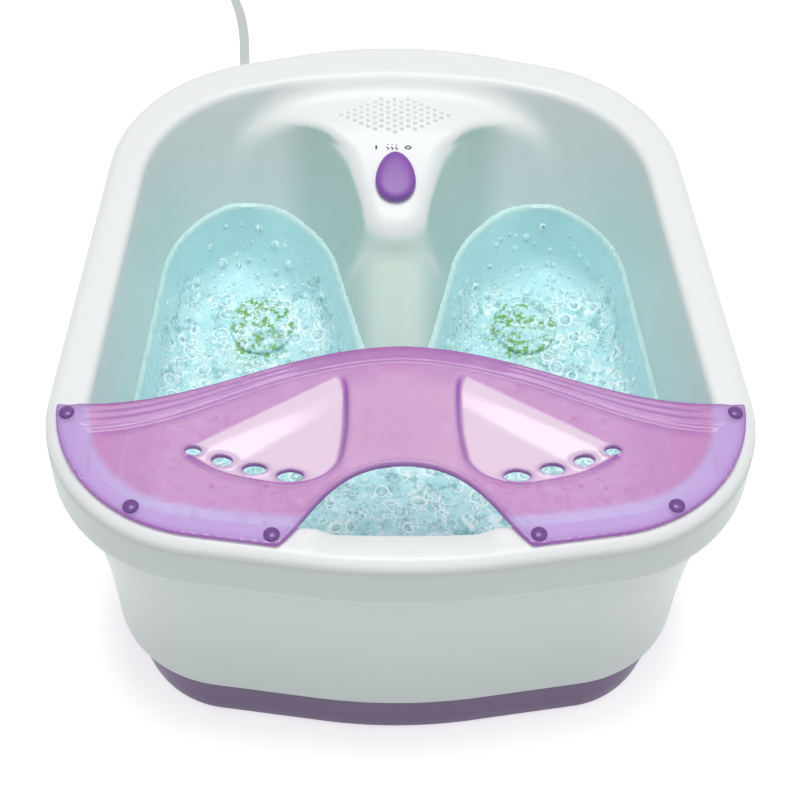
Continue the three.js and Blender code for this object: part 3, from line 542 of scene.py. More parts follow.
FIELD_STEP = 2.0
PLAN_LOW, PLAN_HIGH = (-215, -225), (215, 225)
rim_loop = plan_loop(RIM_PLAN)
rim_field = Outline(rim_loop, PLAN_LOW, PLAN_HIGH)
opening_field = Outline(plan_loop(OPENING_PLAN), PLAN_LOW, PLAN_HIGH)
floor_field = Outline(plan_loop(FLOOR_PLAN), PLAN_LOW, PLAN_HIGH)


def console_field(half):
    """The console's plan at one height, from the right half of its edge."""
    past = CONSOLE_BACK + 40
    loop = mirrored(np.vstack([spline(half), [(half[-1][0], past), (0, past)]]))
    return Outline(loop, PLAN_LOW, PLAN_HIGH)


foot_field = console_field(CONSOLE_FOOT)
low_field = console_field(CONSOLE_LOW)
high_field = console_field(CONSOLE_HIGH)
profile_loop = np.vstack([spline(CONSOLE_PROFILE), [(240, 178), (240, 0), (-45, 0)]])
profile_field = Outline(profile_loop, (-120, -10), (240, 220))
wing_loop = np.vstack([spline(WING_PROFILE), [(104, 0), (-40, 0), (-40, 181)]])
wing_field = Outline(wing_loop, (-40, -10), (240, 220))

NECK_EDGE = 7
RIDGE_EDGE = 26
CREST_ROUND = 6
CONSOLE_FILLET = 14
FLOOR_FILLET = 16


def console(x, y, z):
    """The console with its ridge: flanks that lean in upwards, under its height profiles."""
    below = np.clip((CONSOLE_LOW_Z - z) / (CONSOLE_LOW_Z - CONSOLE_FOOT_Z), 0, 1.4)
    above = np.clip((z - CONSOLE_LOW_Z) / (CONSOLE_HIGH_Z - CONSOLE_LOW_Z), 0, 1)
    across = np.hypot(x, CREST_ROUND)
    flank = (low_field(across, y) * (1 - below - above) + foot_field(across, y) * below
             + high_field(across, y) * above)
    top = blended(profile_field(y, z), wing_field(np.abs(x), z), 12)
    # The ridge is rounded right across; the console's neck keeps a firmer edge.
    edge = NECK_EDGE + (RIDGE_EDGE - NECK_EDGE) * (1 - smooth_step(y, 58, 76))
    return blended(flank, top, edge)


def basin_air(x, y, z):
    """The space inside the basin: between the walls, over the floor, clear of the console."""
    t = (OPENING_HEIGHT - z) / (OPENING_HEIGHT - CURVE_HEIGHT)
    t = np.clip(t, -0.3, 1.2)
    walls = opening_field(x, y) * (1 - t) + floor_field(x, y) * t
    hollow = common(walls, FLOOR_TOP - z, FLOOR_FILLET)
    return blended(hollow, -console(x, y, z), CONSOLE_FILLET)


# ---------------------------------------------------------------- tub

SCOOP = dict(half=35, flare=0.9, y=-171, z=176, slope=10 / 21)


def pour_scoop(x, y, z):
    """The dip in the rim at the toe end, with sloping ends, that water is poured out over."""
    ramp = (SCOOP["z"] + (SCOOP["y"] - y) * SCOOP["slope"] - z) * 0.9
    ends = (np.abs(x) - SCOOP["half"] - (z - SCOOP["z"]) * SCOOP["flare"]) * 0.74
    return common(common(ramp, ends, 3), y + 150, 1)


def tub(x, y, z):
    air = basin_air(x, y, z)
    rim = rim_field(x, y)
    block = common(rim, z - RIM_TOP, 7.5)
    scoop = pour_scoop(x, y, z)
    solid = common(common(block, -air, 4), -scoop, 2.5)
    grown = np.minimum(air, scoop) - BACKED_WALL
    under_rim = common(common(rim + BACKED_WALL, z - RIM_TOP + BACKED_WALL, 5), -grown, 2)
    below_lip = np.maximum(z - LIP_BOTTOM, -grown)
    return common(solid, -np.minimum(under_rim, below_lip), LIP_ROUND)


def cut(piece, cutters):
    """Cuts closed shapes, given as one object, out of a piece."""
    modifier = piece.modifiers.new("cut", "BOOLEAN")
    modifier.operation = "DIFFERENCE"
    modifier.solver = "MANIFOLD"
    modifier.object = cutters
    bpy.context.view_layer.update()
    evaluated = piece.evaluated_get(bpy.context.evaluated_depsgraph_get())
    result = bpy.data.meshes.new_from_object(evaluated)
    piece.modifiers.clear()
    if len(result.polygons) > len(piece.data.polygons) // 2:
        piece.data = result
    bpy.data.objects.remove(cutters)


def cylinders(rods, sides=24):
    """One object of upright closed cylinders: (x, y, z0, z1, radius)."""
    points, faces = [], []
    for x, y, z0, z1, radius in rods:
        ring = circle_points(sides) * radius + (x, y)
        both = np.vstack([np.column_stack([ring, np.full(sides, z)]) for z in (z0, z1)])
        add_part(points, faces, both, skin_faces(2, sides))
    mesh = bpy.data.meshes.new("cutters")
    mesh.from_pydata((np.array(points) * MM).tolist(), [], faces)
    cutters = bpy.data.objects.new("cutters", mesh)
    bpy.context.scene.collection.objects.link(cutters)
    return cutters


def add_attribute(piece, name, values):
    attribute = piece.data.attributes.new(name, "FLOAT", "POINT")
    attribute.data.foreach_set("value", np.asarray(values, np.float32))


def piece_points(piece):
    """A piece's points in millimetres."""
    flat = np.empty(len(piece.data.vertices) * 3, np.float32)
    piece.data.vertices.foreach_get("co", flat)
    return flat.reshape(-1, 3) / MM


def tub_material():
    """White moulding: painted shade with a reflected aqua tint on the walls, painted shade by the
    console, and a warmer, grey-green painted shade on the ridge, lightest along its crest.
    """
    material, tree, shader = new_material("tub_white")
    outside = add_mix(tree, attribute_of(tree, "skirt_shade"), WHITE, PAINTED_WALL_SHADE)
    walls = add_mix(tree, attribute_of(tree, "depth"), outside, (0.80, 0.93, 0.90))
    shaded = add_mix(tree, attribute_of(tree, "shade"), walls, (0.53, 0.70, 0.66))
    ridge = attribute_of(tree, "ridge")
    colour = add_mix(tree, ridge, shaded, (0.64, 0.77, 0.69))
    tree.links.new(colour, shader.inputs["Base Color"])
    tree.links.new(add_range(tree, ridge, 0.32, 0.8), shader.inputs["Roughness"])
    tree.links.new(add_range(tree, ridge, 0.35, 0.05), shader.inputs["Specular IOR Level"])
    return material


def make_tub():
    """The white moulding, with peg sockets and jets cut in, and where its painted shade and painted
    aqua tint fall.
    """
    points, faces = surface_net(tub, (-188, -207, 54), (188, 207, 189), FIELD_STEP)
    piece = mesh_object("tub", points, faces, tub_material(), "basin", 50)
    sockets = [(side * x, y, 175, 190, 3.2) for side in (1, -1) for x, y in PEG_PLACES]
    cut(piece, cylinders(sockets + JETS))
    x, y, z = piece_points(piece).T
    normals = np.empty(len(piece.data.vertices) * 3, np.float32)
    piece.data.vertices.foreach_get("normal", normals)
    up = normals.reshape(-1, 3)[:, 2]
    towards_toes = -normals.reshape(-1, 3)[:, 1]
    inside = smooth_step(-opening_field(x, y), -3, 4) * smooth_step(181 - z, 0, 12)
    steep = 1 - smooth_step(up, 0.4, 0.6)
    lit_back = smooth_step(towards_toes, 0.3, 0.9) * smooth_step(y, 60, 120)
    deep = smooth_step(146 - z, 0, 6)
    # Painted shade with a reflected aqua tint: on the inner walls' steep and deep faces, less on
    # the back wall that faces the toes.
    add_attribute(piece, "depth", inside * np.maximum(steep * 0.85, deep) * (1 - 0.75 * lit_back))
    # Painted shade: by the console's flanks, low on the walls and down the ridge's sides.
    near_console = smooth_step(78 - np.abs(x), 0, 30) * smooth_step(z, 85, 100)
    near_console *= smooth_step(y, -30, 20)
    low = smooth_step(150 - z, 0, 70)
    flanks = steep * np.maximum(0.9 * near_console, 0.15 * low)
    past_toes = smooth_step(y, -45, -10)
    on_ridge = (1 - smooth_step(y, 58, 68)) * smooth_step(34 - np.abs(x), 0, 8) * past_toes
    ridge_sides = smooth_step(np.abs(x), 2, 24) * 0.85
    add_attribute(piece, "shade", inside * (flanks * (1 - on_ridge) + ridge_sides * on_ridge))
    # Painted shade: the lip's steep outer faces take the casing's grey shade tone.
    outer_side = smooth_step(rim_field(x, y), -9, -5) * (1 - smooth_step(up, 0.1, 0.8))
    add_attribute(piece, "skirt_shade", outer_side)
    # Painted shade on the ridge: grey-green, lightest along its crest.
    crest = np.exp(-(x / 15) ** 2)
    add_attribute(piece, "ridge", deep * crest * past_toes)
    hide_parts("basin_shell")


# ---------------------------------------------------------------- outer shell and base

PLAN_POINTS = 320
# How far the casing's outside stands in from the rim's outline, and at what height.
SHELL_PROFILE = [(22.5, 24.3), (22.2, 27), (21.9, 36), (21, 60), (19.4, 80), (17, 100), (14, 120),
                 (11.4, 140), (9.5, 160), (9, 172)]
# The base tray: how far in at the sides and at the ends, and at what height.
BASE_LEVELS = [(70, 60, 3), (36.6, 23, 3), (35.2, 21.6, 3.2), (34, 20.4, 4), (33.5, 20, 5.5),
               (30.9, 21.1, 10.8), (27.8, 22.6, 16.6), (25.1, 23.8, 22.2), (24.6, 24.2, 23.5),
               (25.2, 25.2, 24), (25.6, 25.6, 24.3), (25.6, 25.6, 29.4), (26, 26, 30),
               (27.4, 27.4, 30), (27.8, 27.8, 29.4), (27.8, 27.8, 24), (32.9, 25.7, 14),
               (37, 24, 6.2), (38.6, 25.6, 5), (70, 60, 5)]


def rim_rings(levels):
    """The rim's outline moved in by two distances, at each height."""
    base = even_loop(rim_loop, PLAN_POINTS)
    return np.vstack([np.column_stack([inset(base, at_sides, at_ends), np.full(PLAN_POINTS, z)])
                      for at_sides, at_ends, z in levels])


def make_outer_shell(material):
    """The casing under the lip, flared upwards."""
    outside = [(d, d, z) for d, z in spline(SHELL_PROFILE, 4)]
    outside[0] = (22.9, 22.9, 24.3)
    levels = outside + [(d + WALL, d + WALL, z) for d, _, z in reversed(outside)]
    faces = skin_faces(len(levels), PLAN_POINTS, hoop=True)
    piece = mesh_object("outer_wall", rim_rings(levels), faces, material, "basin", 35)
    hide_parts("outer_shell")


def make_base(material):
    """The coloured tray: spread at its ends, tapered at its sides, with the lip inside the wall."""
    faces = skin_faces(len(BASE_LEVELS), PLAN_POINTS)
    piece = mesh_object("base_tray", rim_rings(BASE_LEVELS), faces, material, "basin", 35)
    screws = [(x, y, 0, 8, 2.4) for x, y in SCREW_PLACES]
    pads = [(x, y, 0, 8, 3.3) for x, y in FOOT_PLACES]
    vents = [(-24 + 6 * i, 20 + 6 * j, 0, 8, 1.7) for i in range(9) for j in range(5)]
    cut(piece, cylinders(screws + pads + vents, 16))
    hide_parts("base_pan")


# ---------------------------------------------------------------- foot bed

BED_SKIN = 2.2
BED_BACK = 1.7  # how far the liner's hidden back reaches into the tub's own wall
ROUND_NODES = 1500
FLECK_PLACES = [(-86, 57), (76, 60)]


def bed(x, y, z):
    air = basin_air(x, y, z)
    liner = np.maximum(air - BED_BACK, -(air + GAP + BED_SKIN))
    return common(liner, z - BED_TOP, 0.8)


def bed_height(x, y):
    """Height of the bed's upper face, found by halving."""
    low = np.full_like(x, FLOOR_TOP + 0.5)
    high = np.full_like(x, BED_TOP - 4.0)
    for _ in range(14):
        middle = (low + high) / 2
        open_here = basin_air(x, y, middle) + GAP + BED_SKIN < 0
        high = np.where(open_here, middle, high)
        low = np.where(open_here, low, middle)
    return high


def slope_of(field, x, y, z):
    """The field's direction of steepest rise, as unit vectors."""
    slope = rise_of(field, x, y, z, 0.2)
    return slope / np.maximum(np.linalg.norm(slope, axis=1), 1e-9)[:, None]


def dome_shape(sides, rings, height):
    """A closed unit dome: points with radius 1 and the given height, and its faces."""
    ring = circle_points(sides)
    angles = math.pi / 2 * np.arange(rings + 1) / (rings + 0.35)
    levels = [np.column_stack([ring * math.cos(a), np.full(sides, math.sin(a) * height)])
              for a in angles]
    faces = skin_faces(rings + 1, sides)[:-1]
    top = (rings + 1) * sides
    faces += [(top - sides + i, top - sides + (i + 1) % sides, top) for i in range(sides)]
    return np.vstack(levels + [(0, 0, height)]), faces


def domes(name, places, normals, radii, material, body, height=0.6, sides=12, rings=3, sunk=0.25):
    """Many small domes as one piece, each standing on its place along its normal."""
    shape, shape_faces = dome_shape(sides, rings, height)
    points, faces = [], []
    for place, normal, radius in zip(places, normals, radii):
        turn = np.array(Vector(normal).to_track_quat("Z", "Y").to_matrix())
        foot = np.array(place) - np.array(normal) * sunk
        add_part(points, faces, foot + (shape * radius) @ turn.T, shape_faces)
    return mesh_object(name, points, faces, material, body, 60)


def add_warp(tree, scale, reach):
    """Object coordinates pushed about by noise."""
    noise, coords = noise_node(tree, scale, 4, 0.5)
    shift = tree.nodes.new("ShaderNodeVectorMath")
    shift.operation = "MULTIPLY_ADD"
    shift.inputs[1].default_value = (reach, reach, reach)
    tree.links.new(noise.outputs["Color"], shift.inputs[0])
    tree.links.new(coords, shift.inputs[2])
    return shift.outputs["Vector"]


def add_ramp(tree, value, stops):
    """A curve through (position, level) stops."""
    node = tree.nodes.new("ShaderNodeValToRGB")
    elements = node.color_ramp.elements
    for _ in stops[2:]:
        elements.new(0.5)
    for element, (position, level) in zip(elements, stops):
        element.position = position
        element.color = (level, level, level, 1)
    tree.links.new(value, node.inputs["Fac"])
    return node.outputs["Color"]


def add_cells(tree, feature, scale, warp_scale, reach):
    cells = tree.nodes.new("ShaderNodeTexVoronoi")
    cells.feature = feature
    cells.inputs["Scale"].default_value = scale
    tree.links.new(add_warp(tree, warp_scale, reach), cells.inputs["Vector"])
    return cells.outputs["Distance"]


def add_patches(tree, scale, low, high):
    """Noise cut to islands: 0 below the low level and 1 above the high one."""
    return add_range(tree, add_noise(tree, scale, 5, 0.65), 0, 1, low, high)


def add_math(tree, first, second, operation="MULTIPLY"):
    node = tree.nodes.new("ShaderNodeMath")
    node.operation = operation
    for socket, value in zip(node.inputs, (first, second)):
        if isinstance(value, (int, float)):
            socket.default_value = value
        else:
            tree.links.new(value, socket)
    return node.outputs["Value"]


# The gel's colours for painted highlights and painted shadows.
PAINTED_HIGHLIGHT = (0.90, 1.0, 1.0)
PAINTED_SHADOW = (0.24, 0.48, 0.50)


def gel_material():
    """Pale aqua gel full of ring-shaped bubbles drawn with painted highlights and painted shadows,
    calm towards its edge, with painted shadow patches, a painted web of bright light, a faint
    painted glow and green flecks.
    """
    material, tree, shader = new_material("aqua_gel")
    busy = add_math(tree, 1, attribute_of(tree, "calm"), "SUBTRACT")
    colour = add_mix(tree, add_noise(tree, 26, 4), (0.41, 0.72, 0.75), (0.60, 0.87, 0.89))
    # Painted shadow: dark patches where the bubbles are busy.
    shadow = add_math(tree, add_patches(tree, 105, 0.5, 0.6), busy)
    colour = add_mix(tree, add_math(tree, shadow, 0.75), colour, PAINTED_SHADOW)
    for scale, warp, island, share in ((88, 30, 30, 1), (165, 60, 48, 0.85)):
        cells = add_cells(tree, "F1", scale, warp, 0.014)
        here = add_math(tree, add_patches(tree, island, 0.4, 0.48), busy)
        # Each bubble: a painted shadow ring, and a painted highlight at its centre and round its
        # rim.
        dark = add_ramp(tree, cells, [(0.22, 0), (0.3, 1), (0.36, 0)])
        light = add_ramp(tree, cells, [(0, 1), (0.13, 0.15), (0.3, 0), (0.38, 1), (0.46, 0)])
        for ring, amount, tone in ((dark, share * 0.8, PAINTED_SHADOW), (light, share, PAINTED_HIGHLIGHT)):
            cover = add_math(tree, add_math(tree, ring, here), amount)
            colour = add_mix(tree, cover, colour, tone)
    # Painted light: a bright web of caustic lines.
    web = add_ramp(tree, add_cells(tree, "DISTANCE_TO_EDGE", 150, 70, 0.03), [(0, 1), (0.1, 0)])
    web = add_math(tree, add_math(tree, web, busy), add_patches(tree, 34, 0.45, 0.6))
    colour = add_mix(tree, add_math(tree, web, 0.8), colour, PAINTED_HIGHLIGHT)
    flecks = add_math(tree, add_patches(tree, 230, 0.5, 0.54), add_patches(tree, 60, 0.42, 0.5))
    flecks = add_math(tree, flecks, attribute_of(tree, "green"))
    colour = add_mix(tree, flecks, colour, (0.19, 0.42, 0.13))
    colour = add_mix(tree, attribute_of(tree, "fade"), colour, (0.56, 0.78, 0.76))
    tree.links.new(colour, shader.inputs["Base Color"])
    # Painted glow: the gel faintly emits its own colour.
    tree.links.new(colour, shader.inputs["Emission Color"])
    shader.inputs["Emission Strength"].default_value = 0.13
    shader.inputs["Roughness"].default_value = 0.12
    add_bump(tree, shader, add_noise(tree, 110, 5, 0.7), 0.7, 0.002)
    return material


def make_bed(material):
    """The aqua liner of both wells, with jets cut through it."""
    points, faces = surface_net(bed, (-162, -172, 56), (162, 156, 114), FIELD_STEP)
    liner = mesh_object("bed_liner", points, faces, material, "basin", 50)
    cut(liner, cylinders(JETS))
    x, y, z = piece_points(liner).T
    rise = smooth_step(z, 72, 100)
    heel = smooth_step(y, 86, 112)
    add_attribute(liner, "calm", np.clip(0.85 * rise + heel, 0, 1))
    add_attribute(liner, "fade", smooth_step(z, 104, BED_TOP) * 0.8)
    around = [np.exp(-((x - at_x) / 22) ** 2 - ((y - at_y) / 26) ** 2)
              for at_x, at_y in FLECK_PLACES]
    add_attribute(liner, "green", smooth_step(sum(around), 0.3, 0.8))
    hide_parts("foot_bed")


def make_bubbles(material):
    """Low rounded nodes in five sizes, scattered over the liner clear of the pads and the jets."""
    rng = np.random.default_rng(SEED)
    x = rng.uniform(-150, 150, ROUND_NODES * 6)
    y = rng.uniform(-165, 135, ROUND_NODES * 6)
    radius = rng.choice([1.4, 2, 2.7, 3.6, 4.8], len(x), p=[0.34, 0.3, 0.2, 0.11, 0.05])
    z = bed_height(x, y)
    lying = (z < BED_TOP - 12) & (basin_air(x, y, z + 1.5) < -1)
    lying &= ~near_pads(x, y) & ~near_jets(x, y, radius)
    taken = []
    for i in np.flatnonzero(lying):
        apart2 = (x[i] - x[taken]) ** 2 + (y[i] - y[taken]) ** 2
        if np.all(apart2 > ((radius[i] + radius[taken]) * 1.02) ** 2):
            taken.append(i)
        if len(taken) >= ROUND_NODES:
            break
    x, y, z, radius = x[taken], y[taken], z[taken], radius[taken]
    normals = slope_of(basin_air, x, y, z)
    normals *= np.sign(normals[:, 2])[:, None]
    nodes = domes("bed_nodes", np.column_stack([x, y, z]), normals, radius, material, "basin")


def near_pads(x, y):
    return (((np.abs(x) - PAD["x"]) / (PAD["half_width"] + 3)) ** 2
            + ((y - PAD["y"]) / (PAD["half_length"] + 3)) ** 2) < 1


def near_jets(x, y, radius):
    near = np.zeros(len(x), bool)
    for jx, jy in BUBBLE_HOLES:
        near |= np.hypot(x - jx, y - jy) < radius + 2.4
    return near


PAD_PROFILE = [(0.97, 64.8), (1, 65.4), (1, 67), (0.97, 67.8), (0.9, 68.2), (0.6, 68.6),
               (0.25, 68.8)]
PAD_NODE_TRIES = 300
PAD_NODE_SPACE = 3.6


def make_pads(material):
    """A soft green oval under each arch, crowned, with a field of small rounded nodes."""
    half = (PAD["half_width"], PAD["half_length"])
    oval = circle_points(48) * half
    for name, side in SIDES:
        centre = (side * PAD["x"], PAD["y"])
        rings = [np.column_stack([oval * scale + centre, np.full(len(oval), z)])
                 for scale, z in PAD_PROFILE]
        faces = skin_faces(len(rings), len(oval))
        pad = mesh_object(f"arch_pad_{name}", np.vstack(rings), faces, material, "basin")
        add_attribute(pad, "green", np.ones(len(pad.data.vertices)))
        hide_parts(f"massage_pad_{name}")
        rng = np.random.default_rng(SEED + side)
        spots = rng.uniform(-1, 1, (PAD_NODE_TRIES, 2))
        taken = []
        for spot in spots[(spots ** 2).sum(1) < 0.74] * half:
            if all(math.dist(spot, other) > PAD_NODE_SPACE for other in taken):
                taken.append(spot)
        places = [(*(spot + centre), 68.3) for spot in taken]
        radii = rng.uniform(1.2, 2.1, len(places))
        nodes = domes(f"arch_nodes_{name}", places, [(0, 0, 1)] * len(places), radii, material,
                      "basin", height=0.9)
        add_attribute(nodes, "green", np.ones(len(nodes.data.vertices)))


# ---------------------------------------------------------------- splash guard

GUARD_THICK = 2.5
GUARD_TOP = GUARD_BOTTOM + GUARD_THICK
SHELF = [(33, -77), (111, -128), (110.5, -134), (104, -139), (90, -146), (70, -151.2),
         (54.5, -152.8), (40, -147.8), (31.5, -138.5), (29, -128), (27.5, -112), (28, -87)]
SHELF_DROP = 4.2
GUARD_LOW, GUARD_HIGH = (-192, -208), (192, -50)


def guard_curves():
    """The right half of the guard's edge: the arch at the toe end, the side, and the back."""
    outer = inset(even_loop(rim_loop, 900), 6.5)
    right = outer[(outer[:, 0] > 62) & (outer[:, 1] < -101)]
    right = right[np.argsort(np.arctan2(right[:, 1], right[:, 0]))]
    arch = bezier((0, -140.5), (38, -140.5), (46, -177), (62, right[0][1] - 0.4))
    back = bezier((right[-1][0], -100.5), (108, -108), (68, -63), (0, -61))
    return arch, right, back


def below_curve(half, depth):
    """A closed region on the -Y side of a curve that ends on the middle line."""
    both = np.vstack([half, (half * (-1, 1))[::-1][1:]])
    return np.vstack([both, both[-1] - (0, depth), both[0] - (0, depth)])


def guard_outline(loop, low=GUARD_LOW):
    return Outline(loop, low, GUARD_HIGH, 0.6, 2)


arch_curve, guard_side, back_curve = guard_curves()
guard_field = guard_outline(mirrored(np.vstack([arch_curve, guard_side, back_curve])))
back_field = guard_outline(below_curve(back_curve, 300))
arch_field = guard_outline(mirrored(np.vstack([[(0, -300), (62, -300)], arch_curve[::-1]])))
shelf_field = guard_outline(spline(SHELF + SHELF[:1], 6)[:-1], (-4, GUARD_LOW[1]))


def toe_holes(x, y):
    nearest = np.full(np.shape(x), 1e3)
    for hx, hy, half_width, half_length in TOE_HOLES:
        d = (np.hypot((np.abs(x) - hx) / half_width, (y - hy) / half_length) - 1) * half_length
        nearest = np.minimum(nearest, d)
    return nearest


def crease_distance(ax, y):
    """From the straight crease between a facet's corner and its tip, negative on the facet."""
    return ((ax - 33) * 51 + (y + 77) * 78) / math.hypot(51, 78)


def guard_sink(x, y):
    """How far the sheet dips: each facet slopes from a crease to a steep wall on its far sides."""
    ax = np.abs(x)
    wall = 1 - smooth_step(shelf_field(ax, y), -3.4, 0.6)
    return SHELF_DROP * smooth_step(-crease_distance(ax, y), 0, 30) * wall


def back_spread(ax):
    return 1 + 0.75 * smooth_step(ax, 60, 165)


def guard_relief(x, y):
    """Details on the sheet's upper face: ribs, band, rolled arch edge and hole collars."""
    ax = np.abs(x)
    from_back = -back_field(x, y)
    spread = back_spread(ax)
    fade = smooth_step(ax, 38, 85) * (1 - smooth_step(ax, 160, 170))
    ribs = sum(0.9 * np.exp(-((from_back / spread - at) / 0.8) ** 2) for at in (1.6, 4.4, 7.2))
    band = 1.1 * (1 - smooth_step(from_back, 9 * spread, 11 * spread))
    band *= 1 - smooth_step(ax, 164, 172)
    roll = 1.6 * np.exp(-((arch_field(x, y) - 1.5) / 1.7) ** 2) * (1 - smooth_step(ax, 50, 66))
    collar = 0.7 * np.exp(-((toe_holes(x, y) - 0.6) / 0.9) ** 2)
    return ribs * fade + band + roll + collar


def guard(x, y, z):
    h = 0.4
    sink = guard_sink(x, y)
    slope2 = ((guard_sink(x + h, y) - sink) / h) ** 2 + ((guard_sink(x, y + h) - sink) / h) ** 2
    # Measured along the slope, so the sheet is equally thick on the facets' steep walls.
    offset = (z - (GUARD_TOP - GUARD_THICK / 2 - sink)) / np.sqrt(1 + slope2)
    sheet = np.maximum(offset - GUARD_THICK / 2 - guard_relief(x, y), -offset - GUARD_THICK / 2)
    plan = np.maximum(guard_field(x, y), -toe_holes(x, y))
    return common(plan, sheet, 0.7)


def guard_material():
    """Tinted clear plastic: pink over the bath, bluer on the flange, facets made pale by painted
    highlights, edges made deep by painted shade.
    """
    material, tree, shader = new_material("violet_clear")
    flange, light, edge = (attribute_of(tree, name) for name in ("flange", "light", "edge"))
    colour = add_mix(tree, flange, (0.80, 0.30, 0.70), (0.78, 0.54, 1.0))
    # Painted highlight: the facets and the middle strip are made paler.
    colour = add_mix(tree, light, colour, (1.0, 0.78, 0.95))
    # Painted shade: the violet deepens along the edges, hole rims, back band, grooves, facet walls
    # and crease.
    colour = add_mix(tree, edge, colour, (0.40, 0.11, 0.52))
    tree.links.new(colour, shader.inputs["Base Color"])
    facets, edges = add_range(tree, light, 0.56, 0.8), add_range(tree, edge, 0.5, 0.82)
    tree.links.new(add_math(tree, facets, edges, "MAXIMUM"), shader.inputs["Alpha"])
    shader.inputs["Roughness"].default_value = 0.1
    add_bump(tree, shader, add_noise(tree, 35, 2), 0.15, 0.0006)
    return material


def make_guard():
    """The tinted sheet over the toes, and where its tint is blue, where painted highlights make it
    pale and where painted shade makes it deep.
    """
    points, faces = surface_net(guard, (-180, -202, 178.35), (180, -57, 193), 0.9)
    piece = mesh_object("guard_sheet", points, faces, guard_material(), "guard", 45)
    peg_holes = [(side * x, y, 178, 196, 3.1) for side in (1, -1) for x, y in PEG_PLACES]
    cut(piece, cylinders(peg_holes))
    x, y, z = piece_points(piece).T
    ax = np.abs(x)
    shelf = shelf_field(ax, y)
    crease = crease_distance(ax, y)
    add_attribute(piece, "flange", smooth_step(opening_field(x, y), -5, 0))
    # Painted highlight: on the facets and, fainter, down the middle.
    facet = smooth_step(-shelf, 2.5, 4.5) * smooth_step(-crease, 0, 3)
    middle = 0.3 * (1 - smooth_step(ax, 24, 34)) * smooth_step(-back_field(x, y), 14, 30)
    add_attribute(piece, "light", np.maximum(facet, middle))
    # Painted shade: the violet deepens along the outer edge, the hole rims, the back band, the
    # grooves, the facet walls and the crease.
    border = np.exp(np.minimum(guard_field(x, y), 0) / 1.3)
    holes = np.exp(-np.maximum(toe_holes(x, y), 0) / 0.8)
    from_back = -back_field(x, y) / back_spread(ax)
    band = 0.42 * (1 - smooth_step(from_back, 9, 13)) * (1 - smooth_step(ax, 146, 158))
    grooves = sum(0.6 * np.exp(-((from_back - at) / 0.7) ** 2) for at in (0.2, 3, 5.8, 8.6, 11.4))
    grooves = grooves * smooth_step(ax, 38, 75) * (1 - smooth_step(ax, 150, 160))
    wall = np.exp(-((shelf + 1.3) / 1.5) ** 2) * smooth_step(-crease, 2, 9)
    line = 0.35 * np.exp(-(crease / 0.8) ** 2) * (shelf < -2)
    darkest = np.maximum.reduce([border, holes, band, grooves, wall, line])
    add_attribute(piece, "edge", np.clip(darkest, 0, 1))
    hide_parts("splash_guard")


# A peg's radius and height over the guard's upper face.
PEG_PROFILE = [(0.02, -11.9), (1.8, -11.9), (2.7, -10.4), (2.7, 0.3), (3.9, 0.35), (4.0, 0.8),
               (3.7, 1.3), (2.8, 1.9), (1.4, 2.2), (0.02, 2.3)]


def make_pegs(material):
    circle = circle_points(28)
    faces = skin_faces(len(PEG_PROFILE), len(circle))
    for name, side in SIDES:
        for i, (px, py) in enumerate(PEG_PLACES):
            rings = [np.column_stack([circle * r + (side * px, py),
                                      np.full(len(circle), GUARD_TOP + z)]) for r, z in PEG_PROFILE]
            peg = mesh_object(f"peg_{name}_{i + 1}", np.vstack(rings), faces, material, "guard")
            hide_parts(f"guard_peg_{name}_{i + 1}")


# ---------------------------------------------------------------- console details

NUBS = dict(pitch=4.1, half_width=35, front=133.6, back=159.5, radius=1.55)
MARK_LIFT = 0.12


def console_height(x, y):
    """Height of the console's face, found by halving."""
    low = np.full(np.shape(x), 100.0)
    high = np.full(np.shape(x), 184.0)
    for _ in range(18):
        middle = (low + high) / 2
        solid = basin_air(x, y, middle) > 0
        low = np.where(solid, middle, low)
        high = np.where(solid, high, middle)
    return low


def make_nubs(material):
    """A lens-shaped field of low nubs in staggered columns on the console's shelf."""
    places = []
    for k in range(-9, 10):
        x = k * NUBS["pitch"]
        bend = (x / NUBS["half_width"]) ** 2
        for j in range(9):
            y = 134 + (j + k % 2 / 2) * NUBS["pitch"]
            if NUBS["front"] + 13 * bend <= y <= NUBS["back"] - 10.5 * bend:
                places.append((x, y))
    x, y = np.array(places).T
    z = console_height(x, y)
    normals = slope_of(lambda u, v, w: -basin_air(u, v, w), x, y, z)
    nubs = domes("console_nubs", np.column_stack([x, y, z]), normals, [NUBS["radius"]] * len(x),
                 material, "basin", height=0.85, sides=16, rings=4, sunk=0.1)


def on_console(outline, lift):
    """A plan outline raised onto the console's face."""
    return np.column_stack([outline, console_height(*outline.T) + lift])


def flat_mark(outline):
    """A closed print of an outline laid on the console's face."""
    outline = np.asarray(outline, float)
    rings = [on_console(outline, lift) for lift in (-0.25, MARK_LIFT)]
    return np.vstack(rings), skin_faces(2, len(outline))


def ring_mark(x, y, outer, inner, count=28):
    """A flat ring on the console's face."""
    sections = ((outer, -0.2), (outer, MARK_LIFT), (inner, MARK_LIFT), (inner, -0.2))
    rings = [on_console(circle_points(count) * radius + (x, y), lift) for radius, lift in sections]
    return np.vstack(rings), skin_faces(4, count, hoop=True)


